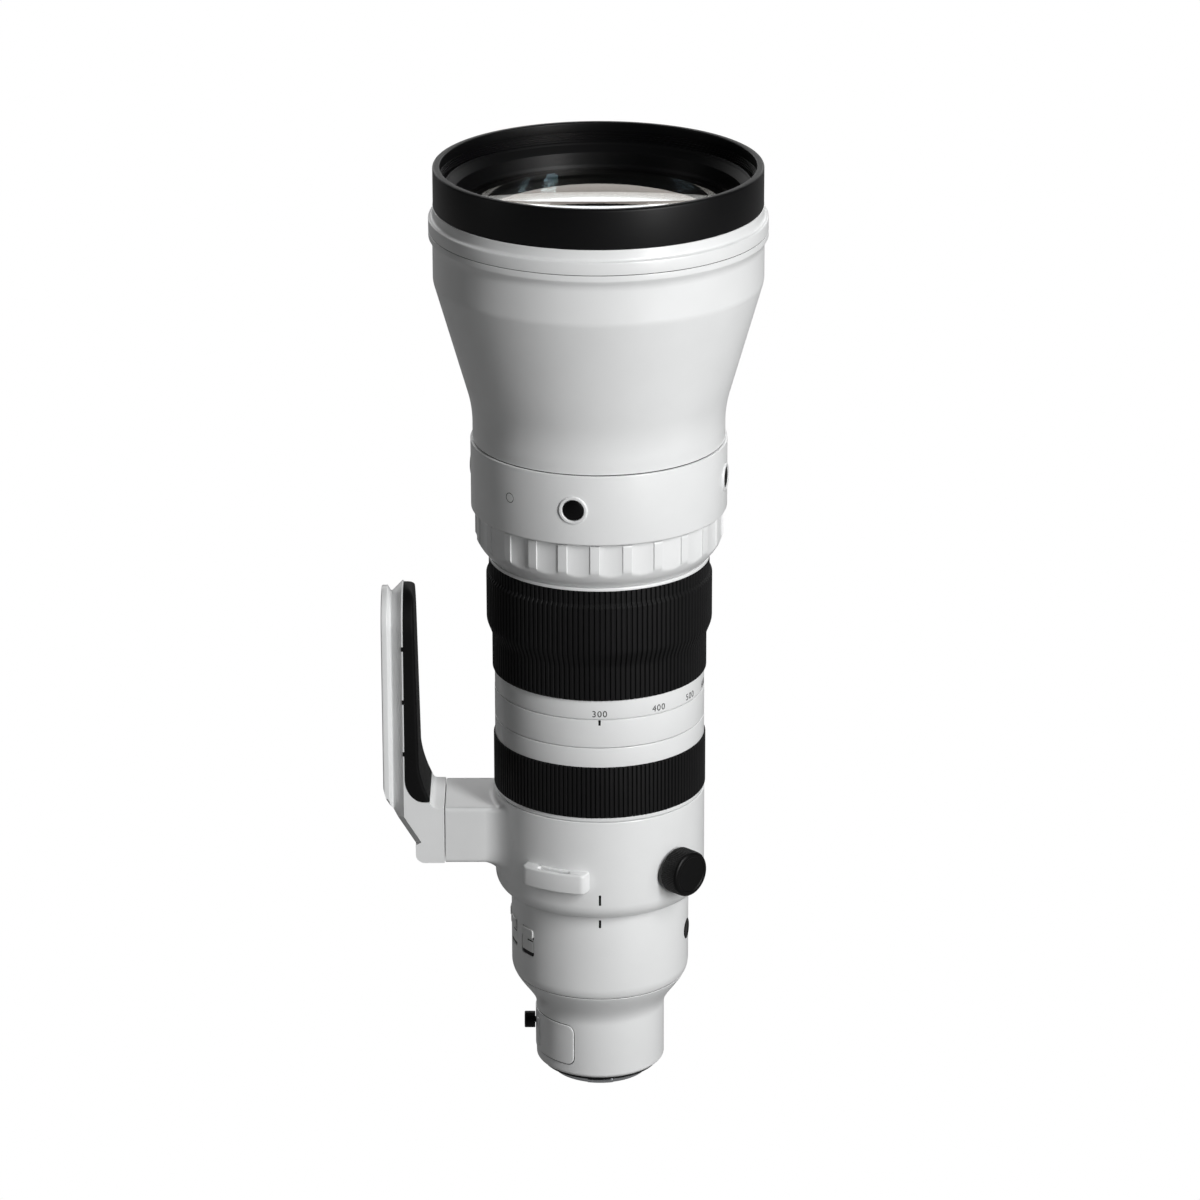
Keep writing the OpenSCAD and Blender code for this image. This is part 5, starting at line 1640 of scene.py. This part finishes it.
    def nub(self, z: float, way: int) -> Patch:
        """A small key of the pad in the edge of the foot.

        Args:
            z: Height of its middle.
            way: Side of the foot, 1 for -Y.

        Returns:
            The closed key.
        """
        key = boss(oblong(*self.nub_size), low=-0.3, high=self.half - self.pad_half + 0.04, edge=0.1)
        key = key.placed(np.array(Matrix.Rotation(math.radians(90 * way), 4, "X")))
        key.points += [self.top_x - 0.2, -way * self.pad_half, z]
        return key


@dataclass
class RearBarrel:
    """White rear barrel with four slide switches and a plug in its side."""

    barrel: Span = span("rear_barrel")
    bore: float = 41.5
    seam_h: float = 0.35
    tube_r: float = 32.3
    cone_z0: float = 29.0
    cone_over: float = 5.6
    shelf: tuple[float, float, float] = (33.0, 5.0, 3.0)
    slot: tuple[float, float] = (10.5, 15.0)
    slot_corner: float = 1.6
    slot_depth: float = 0.6
    slot_rise: float = 17.1
    play: float = 0.35
    travel: float = 1.5
    tab_h: float = 4.7
    tab_rise: float = 0.7
    parting: float = 0.4
    plug_r: float = 5.2
    plug_depth: float = 1.9
    plug_proud: float = 0.3
    switches: int = 4
    mark: tuple[float, float, float] = (4.4, 0.7, 0.2)
    tab_shadow_at: tuple[float, float] = (2.4, 1.0)
    ink: float = 0.03

    def build(self, shop: Workshop) -> None:
        """Builds the barrel with its slots, sliders and plug, and the black pieces of painted shade in its
        seam, its slots and under the tabs.
        """
        r, middle = self.barrel.r, self.barrel.z0 + self.slot_rise + self.slot[1] / 2
        angles = [place_of(f"switch_slider_{k}")[0] for k in range(1, self.switches + 1)]
        plug_angle, plug_z = place_of("side_plug")
        whole = shop.blank("rear_barrel_shell", lathe(self.profile()))
        outline = oblong(*self.slot, self.slot_corner)
        slot = boss(outline, low=-self.slot_depth, high=3.0, edge=0.1, rings=8)
        for angle in angles:
            shop.cut(whole, slot.wrapped(r, angle, middle))
        well = boss(circle(self.plug_r + 0.1), r - self.plug_depth, r + 3, edge=0.1)
        shop.cut(whole, well.placed(radial(plug_angle, plug_z)))
        shop.dress(whole, WHITE_ENAMEL, "barrel", "rear_barrel")
        # The black ring in the seam to the rear tube is painted shade.
        shop.make("rear_seam_painted_shade", seam(self.split(), self.barrel.z0, self.seam_h), GRIP_RUBBER_AND_SEAM_SHADE, "barrel")
        # The black slot floors are painted shade: dark lines in the gaps round each slider and the dark space
        # below it
        floors = [self.floor().wrapped(r, angle, middle) for angle in angles]
        shop.make("switch_slot_shade_floors", joined(floors), BLACK_MOULDED_AND_SLOT_SHADE, "barrel")
        for k, angle in enumerate(angles, 1):
            body = f"switch_slider_{k}"
            shop.make(f"switch_cap_{k}", self.slider().wrapped(r, angle, middle), WHITE_MOULDED, body, body)
            # The mark on each slider is painted shadow: a thin black sheet under the right half of its raised
            # tab
            mark = boss(oblong(*self.mark), low=-0.2, high=self.ink, edge=0.02, rings=8)
            mark.points[:, :2] += self.tab_shadow_at
            shop.make(f"switch_mark_{k}", mark.wrapped(r, angle, middle), BLACK_INK_AND_TAB_SHADOW, body)
        plug = lathe(self.plug_profile(), closed=False, segments=SMALL_SEGMENTS)
        plug = plug.placed(radial(plug_angle, plug_z))
        shop.make("side_port_plug", plug, BLACK_MOULDED_AND_SLOT_SHADE, "barrel", "side_plug")

    def plug_profile(self) -> np.ndarray:
        """A round plug with a shallow dish in its face.

        Returns:
            Rows of radius and height.
        """
        low, high, r = self.barrel.r - self.plug_depth, self.barrel.r + self.plug_proud, self.plug_r
        dish = high - self.plug_proud
        return rounded([(0, low, 0), (r, low, 0), (r, high, 0.5), (r - 1.4, high, 0.2), (r - 1.6, dish, 0.15),
                        (0, dish, 0)], closed=False)

    def cone(self) -> np.ndarray:
        """The flare from rear tube to rear barrel: half a cosine wave.

        Returns:
            Rows of radius and height.
        """
        t = np.linspace(0, 1, 40)
        z = self.cone_z0 + (self.barrel.z0 + self.cone_over - self.cone_z0) * t
        grown = (self.barrel.r - self.tube_r) * (1 - np.cos(math.pi * t)) / 2
        return np.stack([self.tube_r + grown, z], axis=1)

    def split(self) -> float:
        """The flare's radius where the rear tube ends."""
        cone = self.cone()
        return float(np.interp(self.barrel.z0, cone[:, 1], cone[:, 0]))

    def profile(self) -> np.ndarray:
        """The upper part of the flare, the straight barrel and the shelf inside.

        Returns:
            Rows of radius and height.
        """
        z0, z1, r = self.barrel.z0, self.barrel.z1, self.barrel.r
        cone, split = self.cone(), self.split()
        shelf_r, rise, thick = self.shelf
        groove, seam_top = split - SEAM_GROOVE, z0 + self.seam_h
        return rounded([
            (self.bore, z0, 0), (groove, z0, 0), (groove, seam_top, 0), (split, seam_top, 0.1),
            *[(x, z, 0) for x, z in cone[cone[:, 1] > z0 + 0.6]], (r, z1, 0.5), (self.bore, z1, 0),
            (self.bore, z0 + rise + thick, 0), (shelf_r, z0 + rise + thick, 0), (shelf_r, z0 + rise, 0),
            (self.bore, z0 + rise, 0)])

    def floor(self) -> Patch:
        """The black floor of a switch slot: painted shade that shows in the gaps round the slider and in the
        space below it.

        Returns:
            The closed plate.
        """
        outline = oblong(self.slot[0] - 0.1, self.slot[1] - 0.1, self.slot_corner)
        low, high = -self.slot_depth - 0.2, -self.slot_depth + 0.08
        return boss(outline, low, high, edge=0.02, rings=8)

    def slider(self) -> Patch:
        """A switch's sliding plate: a raised finger tab above, a flush plate below, a fine gap between.

        Returns:
            Both closed plates.
        """
        w, top = self.slot[0] - 2 * self.play, self.slot[1] / 2 - self.play
        low = self.play * 2 + self.travel - self.slot[1] / 2
        corner, floor = self.slot_corner - self.play, -self.slot_depth + 0.12
        tab = boss(oblong(w, self.tab_h, corner), floor, self.tab_rise, edge=0.35, rings=8)
        tab.points[:, 1] += top - self.tab_h / 2
        high = top - self.tab_h - self.parting
        plate = boss(oblong(w, high - low, corner / 2), floor, high=0.0, edge=0.25, rings=8)
        plate.points[:, 1] += (high + low) / 2
        return tab + plate


@dataclass
class RearTube:
    """White rear tube with the drop-in filter drawer and its knob."""

    barrel: RearBarrel = field(default_factory=RearBarrel)
    end_r: float = 30.9
    end_round: float = 1.2
    plate_r: float = 28.45
    chamber_r: float = 30.0
    chamber: tuple[float, float] = (5.5, 28.5)
    web_bore: float = 21.5
    glass_r: float = 20.05
    glass_z: float = 33.0
    ledge: float = 1.0
    spigot_r: float = 41.45
    plate_t: float = 3.0
    panel_h: float = 21.1
    panel_z0: float = 6.15
    panel_span: float = 131.0
    panel_corner: float = 3.6
    panel_points: int = 320
    gap: float = 0.5
    proud: float = 0.4
    seal_grown: float = 0.4
    seal_below: float = 0.25
    angle: float = -90.0
    holder_r: float = 26.5
    holder_z: tuple[float, float] = (2.85, 3.25)
    neck_z: tuple[float, float] = (2.95, 3.35)
    neck_size: tuple[float, float, float] = (9.0, 24.0, 1.0)
    holder_ledge: float = 1.8
    filter_r: float = 20.3
    knob_r: float = 4.2
    stem_r: float = 1.5
    stem_depth: float = 1.7

    def build(self, shop: Workshop) -> None:
        """Builds the tube with its opening, the drawer with its seal, and the drawer's knob."""
        whole = shop.blank("rear_tube_shell", lathe(self.profile()))
        shop.cut(whole, self.plate(self.gap, low=-2.2, high=3.0, edge=0.1))
        shop.dress(whole, WHITE_ENAMEL, "barrel", "rear_tube")
        drawer = shop.blank("filter_drawer_panel", self.plate(grown=0.0, low=0.3, high=self.proud, edge=0.35))
        shop.join(drawer, self.neck())
        shop.join(drawer, self.holder())
        shop.dress(drawer, WHITE_ENAMEL, "filter_drawer", "filter_drawer")
        seal = self.plate(self.seal_grown, low=0.4, high=-self.seal_below, edge=0.05)
        shop.make("filter_drawer_seal", seal, GRIP_RUBBER_AND_SEAM_SHADE, "filter_drawer")
        knob = self.knob().placed(radial(*place_of("filter_knob")))
        shop.make("filter_knob_cap", knob, BLACK_MOULDED_AND_SLOT_SHADE, "filter_knob", "filter_knob")

    def plate(self, grown: float, low: float, high: float, edge: float) -> Patch:
        """A plate of the drawer panel's outline, bent round the tube.

        Args:
            grown: How far its outline stands outside the panel's.
            low: Height of its inner face above the chamber's wall.
            high: Height of its outer face above the tube.
            edge: Radius of its outer edge.

        Returns:
            The closed plate.
        """
        r = self.barrel.tube_r
        width, height = math.radians(self.panel_span) * r + 2 * grown, self.panel_h + 2 * grown
        outline = oblong(width, height, self.panel_corner + grown, self.panel_points)
        flat = boss(outline, self.chamber_r - r + low, high, edge, rings=30)
        return flat.wrapped(r, self.angle, self.panel_z0 + self.panel_h / 2)

    def profile(self) -> np.ndarray:
        """Round end at the mount, straight tube, lower part of the flare, and the chamber inside.

        Returns:
            Rows of radius and height.
        """
        cone = self.barrel.cone()
        z1, r = self.barrel.barrel.z0, self.barrel.tube_r
        split = self.barrel.split()
        c0, c1 = self.chamber
        glass, web = self.glass_r, self.web_bore
        return rounded([
            (self.plate_r + 0.05, 0, 0), (self.end_r, 0, 0.5), (r, self.end_round, 2.0),
            *[(x, z, 0) for x, z in cone[cone[:, 1] < z1 - 0.6]], (split, z1, 0.2), (self.spigot_r, z1, 0),
            (split - 3, z1, 0), (glass, z1, 0), (glass, self.glass_z, 0),
            (glass - self.ledge, self.glass_z, 0), (glass - self.ledge, c1, 0), (self.chamber_r, c1, 0),
            (self.chamber_r, c0, 0), (web, c0, 0), (web, self.plate_t, 0),
            (self.plate_r + 0.05, self.plate_t, 0)])

    def holder(self) -> Patch:
        """The ring that holds the filter glass, with its ledge.

        Returns:
            The closed ring.
        """
        low, high = self.panel_z0 + self.holder_z[0], self.panel_z0 + self.panel_h - self.holder_z[1]
        wide, r = self.holder_r, self.filter_r
        seat_r, seat_z = r - self.holder_ledge, low + self.holder_ledge
        return lathe(rounded([(seat_r, low, 0), (wide, low, 0.6), (wide, high, 0.6), (r, high, 0.3),
                              (r, seat_z, 0), (seat_r, seat_z, 0)]))

    def neck(self) -> Patch:
        """The block between panel and holder, from inside the panel to inside the ring.

        Returns:
            The closed block.
        """
        low, high = self.panel_z0 + self.neck_z[0], self.panel_z0 + self.panel_h - self.neck_z[1]
        block = boss(oblong(*self.neck_size), low, high, edge=0.5)
        block.points[:, 0] += -self.holder_r - 0.6
        return block

    def knob(self) -> Patch:
        """A small round knob on a stem, with round edges.

        Returns:
            The closed knob.
        """
        low = self.barrel.tube_r + self.proud + 0.3
        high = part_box("filter_knob")[0].x / -MM
        foot, stem_r, r = self.chamber_r - self.stem_depth, self.stem_r, self.knob_r
        profile = rounded([(0, foot, 0), (stem_r, foot, 0), (stem_r, low, 0), (r, low, 0.35), (r, high, 0.5),
                           (0, high, 0)], closed=False)
        return lathe(profile, closed=False, segments=SMALL_SEGMENTS)


@dataclass
class PrintedMarks:
    """Focal lengths on the zoom ring, and the index marks beside it, on the collar and behind it."""

    zoom: Span = span("zoom_ring")
    index: Span = span("index_barrel")
    collar: Span = span("collar")
    barrel: Span = span("rear_barrel")
    numbers: tuple[tuple[str, float], ...] = (("300", 0.0), ("400", 34.0), ("500", 59.0), ("600", 80.0))
    size: float = 4.6
    ink: float = 0.04
    tick_w: float = 1.15
    tick_z: tuple[tuple[float, float], ...] = ((198.9, 201.6), (103.4, 108.9), (88.0, 92.2))
    scale_rise: float = 2.6
    scale_step: float = 0.1
    spacing: float = 1.15

    def build(self, shop: Workshop) -> None:
        """Builds the numbers and the marks."""
        r, z = self.index.r - self.scale_step, self.zoom.z0 + self.scale_rise
        scale = [self.number(text).wrapped(r, angle, z) for text, angle in self.numbers]
        shop.make("zoom_scale_numbers", joined(scale), BLACK_INK_AND_TAB_SHADOW, "zoom_ring")
        ticks = (("zoom_index_mark", "barrel", self.index.r), ("collar_index_mark", "collar", self.collar.r),
                 ("barrel_index_mark", "barrel", self.barrel.r))
        for (name, body, radius), (low, high) in zip(ticks, self.tick_z):
            mark = boss(oblong(self.tick_w, high - low, corner=0.2), low=-0.3, high=self.ink, edge=0.02)
            shop.make(name, mark.wrapped(radius, 0.0, (low + high) / 2), BLACK_INK_AND_TAB_SHADOW, body)

    def number(self, text: str) -> Patch:
        """A number as a thin flat mesh about the origin, from Blender's own typeface.

        Args:
            text: The number.

        Returns:
            The flat mesh.
        """
        curve = bpy.data.curves.new("number_" + text, "FONT")
        curve.body, curve.size, curve.extrude = text, self.size, self.ink / 2
        curve.align_x, curve.align_y, curve.resolution_u = "CENTER", "CENTER", 6
        curve.space_character = self.spacing
        made = bpy.data.objects.new("number_" + text, curve)
        bpy.context.scene.collection.objects.link(made)
        shapes = bpy.context.evaluated_depsgraph_get()
        mesh = bpy.data.meshes.new_from_object(made.evaluated_get(shapes))
        points = np.empty(len(mesh.vertices) * 3)
        mesh.vertices.foreach_get("co", points)
        faces = [list(face.vertices) for face in mesh.polygons]
        bpy.data.objects.remove(made)
        bpy.data.meshes.remove(mesh)
        return Patch(points.reshape(-1, 3) + [0, 0, self.ink / 2 + 0.01], faces)


@dataclass
class CarriedNodes:
    """CAD nodes that show as they are, each with its finish."""

    finishes: tuple[Finish, ...] = (
        WHITE_ENAMEL, WHITE_MOULDED, BLACK_ANODISED, BLACK_MOULDED_AND_SLOT_SHADE, GRIP_RUBBER_AND_SEAM_SHADE, INNER_ANODISED,
        GROUND_STEEL, CHROMED_BRASS, GOLD_PLATE, SOLDER_MASK, INNER_GLASS)

    def build(self, shop: Workshop) -> None:
        """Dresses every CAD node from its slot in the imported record."""
        slots = {part["node"]: part["material_slot"] for part in frame["record"]["subparts"]}
        finishes = {finish.slot.value: finish for finish in self.finishes}
        for name, node in frame["nodes"].items():
            node.data.materials.clear()
            node.data.materials.append(shop.material(finishes[slots[name]]))
        LOG.info("%d carried nodes dressed", len(slots))


@dataclass(frozen=True)
class Softbox:
    """A rectangular light that faces the lens.

    Args:
        name: The light's name.
        angle: Its angle round the optical axis.
        rise: Its height above the horizon, as an angle seen from the lens.
        size: Its width and height.
        power: Its power in watts.
    """

    name: str
    angle: float
    rise: float
    size: tuple[float, float]
    power: float

    def build(self, target: Vector, distance: float) -> None:
        """Stands the light at its place round the target.

        Args:
            target: The place that it faces, in millimetres.
            distance: Its distance from there.
        """
        a, e = math.radians(self.angle), math.radians(self.rise)
        way = Vector((math.sin(a) * math.cos(e), -math.cos(a) * math.cos(e), math.sin(e)))
        light = bpy.data.lights.new(self.name, "AREA")
        light.shape, light.energy = "RECTANGLE", self.power
        light.size, light.size_y = self.size[0] * MM, self.size[1] * MM
        lamp = bpy.data.objects.new(self.name, light)
        lamp.location = (target + way * distance) * MM
        lamp.rotation_euler = (-way).to_track_quat("-Z", "Y").to_euler()
        bpy.context.scene.collection.objects.link(lamp)


@dataclass
class Studio:
    """Pale floor, soft lights and the camera at the photograph's angle."""

    camera_place: tuple[float, float, float] = (0.35, -2522.6, 1173.2)
    pitch: float = 20.2
    roll: float = -0.13
    focal: float = 163.3
    sensor: float = 36.0
    floor_size: float = 16000.0
    floor_white: float = 1.0
    floor_bounce: str = "#808080"
    floor_mirrored: float = 0.12
    surround: float = 0.02
    target: tuple[float, float, float] = (0.0, 0.0, 250.0)
    distance: float = 2200.0
    lamps: tuple[Softbox, ...] = (
        Softbox("key_softbox", 38, 24, (400, 1900), 49),
        Softbox("right_strip", 62, 23, (260, 1900), 6),
        Softbox("left_fill", -75, 20, (700, 1900), 3.5),
        Softbox("back_left", -150, 22, (900, 1900), 6),
        Softbox("back_right", 150, 22, (900, 1900), 6),
        Softbox("back_panel", 180, 20, (2200, 700), 7),
    )

    def build(self) -> None:
        """Builds floor, lights, world and camera."""
        scene = bpy.context.scene
        scene.view_settings.view_transform = "Standard"
        self.floor()
        self.world(scene)
        for lamp in self.lamps:
            lamp.build(Vector(self.target), self.distance)
        self.camera(scene)

    def floor(self) -> None:
        """A wide plain sheet just under the mount.

        The camera sees it evenly lit, like paper that is lit from below; the lens only gets the
        dim light that it throws back.
        """
        half, z = self.floor_size / 2, CAD_BOX[0].z / MM
        mesh = bpy.data.meshes.new("studio_floor")
        corners = [(-half, -half, z), (half, -half, z), (half, half, z), (-half, half, z)]
        mesh.from_pydata((np.array(corners) * MM).tolist(), [], [(0, 1, 2, 3)])
        sheet = bpy.data.objects.new("studio_floor", mesh)
        bpy.context.scene.collection.objects.link(sheet)
        made, tree, _, output = blank("matt_white_paper")
        seen = add(tree, "ShaderNodeLightPath", {})
        lit = add(tree, "ShaderNodeEmission", {"Color": linear("#ffffff"), "Strength": self.floor_white})
        paper = add(tree, "ShaderNodeBsdfDiffuse", {"Color": linear(self.floor_bounce)})
        share = add(tree, "ShaderNodeMath", {0: seen.outputs["Is Glossy Ray"], 1: self.floor_mirrored,
                                             2: seen.outputs["Is Camera Ray"]}, operation="MULTIPLY_ADD")
        mix = add(tree, "ShaderNodeMixShader", {0: share.outputs[0], 1: paper.outputs[0], 2: lit.outputs[0]})
        tree.links.new(mix.outputs[0], output.inputs["Surface"])
        mesh.materials.append(made)

    def world(self, scene: bpy.types.Scene) -> None:
        """An even, dim surround.

        Args:
            scene: The scene.
        """
        world = bpy.data.worlds.new("studio_surround")
        world.use_nodes = True
        shade = world.node_tree.nodes["Background"]
        shade.inputs["Color"].default_value = linear("#ffffff")
        shade.inputs["Strength"].default_value = self.surround
        scene.world = world

    def camera(self, scene: bpy.types.Scene) -> None:
        """The camera that the photograph's perspective gave.

        Args:
            scene: The scene.
        """
        data = bpy.data.cameras.new("photo_camera")
        data.lens, data.sensor_width = self.focal, self.sensor
        data.clip_start, data.clip_end = 0.05, 60.0
        camera = bpy.data.objects.new("photo_camera", data)
        tilt = Matrix.Rotation(math.radians(90 - self.pitch), 4, "X")
        place = Matrix.Translation(Vector(self.camera_place) * MM)
        camera.matrix_world = place @ tilt @ Matrix.Rotation(math.radians(self.roll), 4, "Z")
        scene.collection.objects.link(camera)
        scene.camera = camera


def main() -> None:
    """Builds the looks piece by piece."""
    logging.basicConfig(level=logging.INFO, format="%(name)s: %(message)s")
    shop = Workshop()
    CarriedNodes().build(shop)
    for part in (FrontEnd(), FrontBarrel(), ControlBand(), FunctionRing(), TurningRings(), TripodCollar(),
                 DovetailFoot(), RearBarrel(), RearTube(), PrintedMarks()):
        part.build(shop)
    Studio().build()


if __name__ == "__main__":
    main()
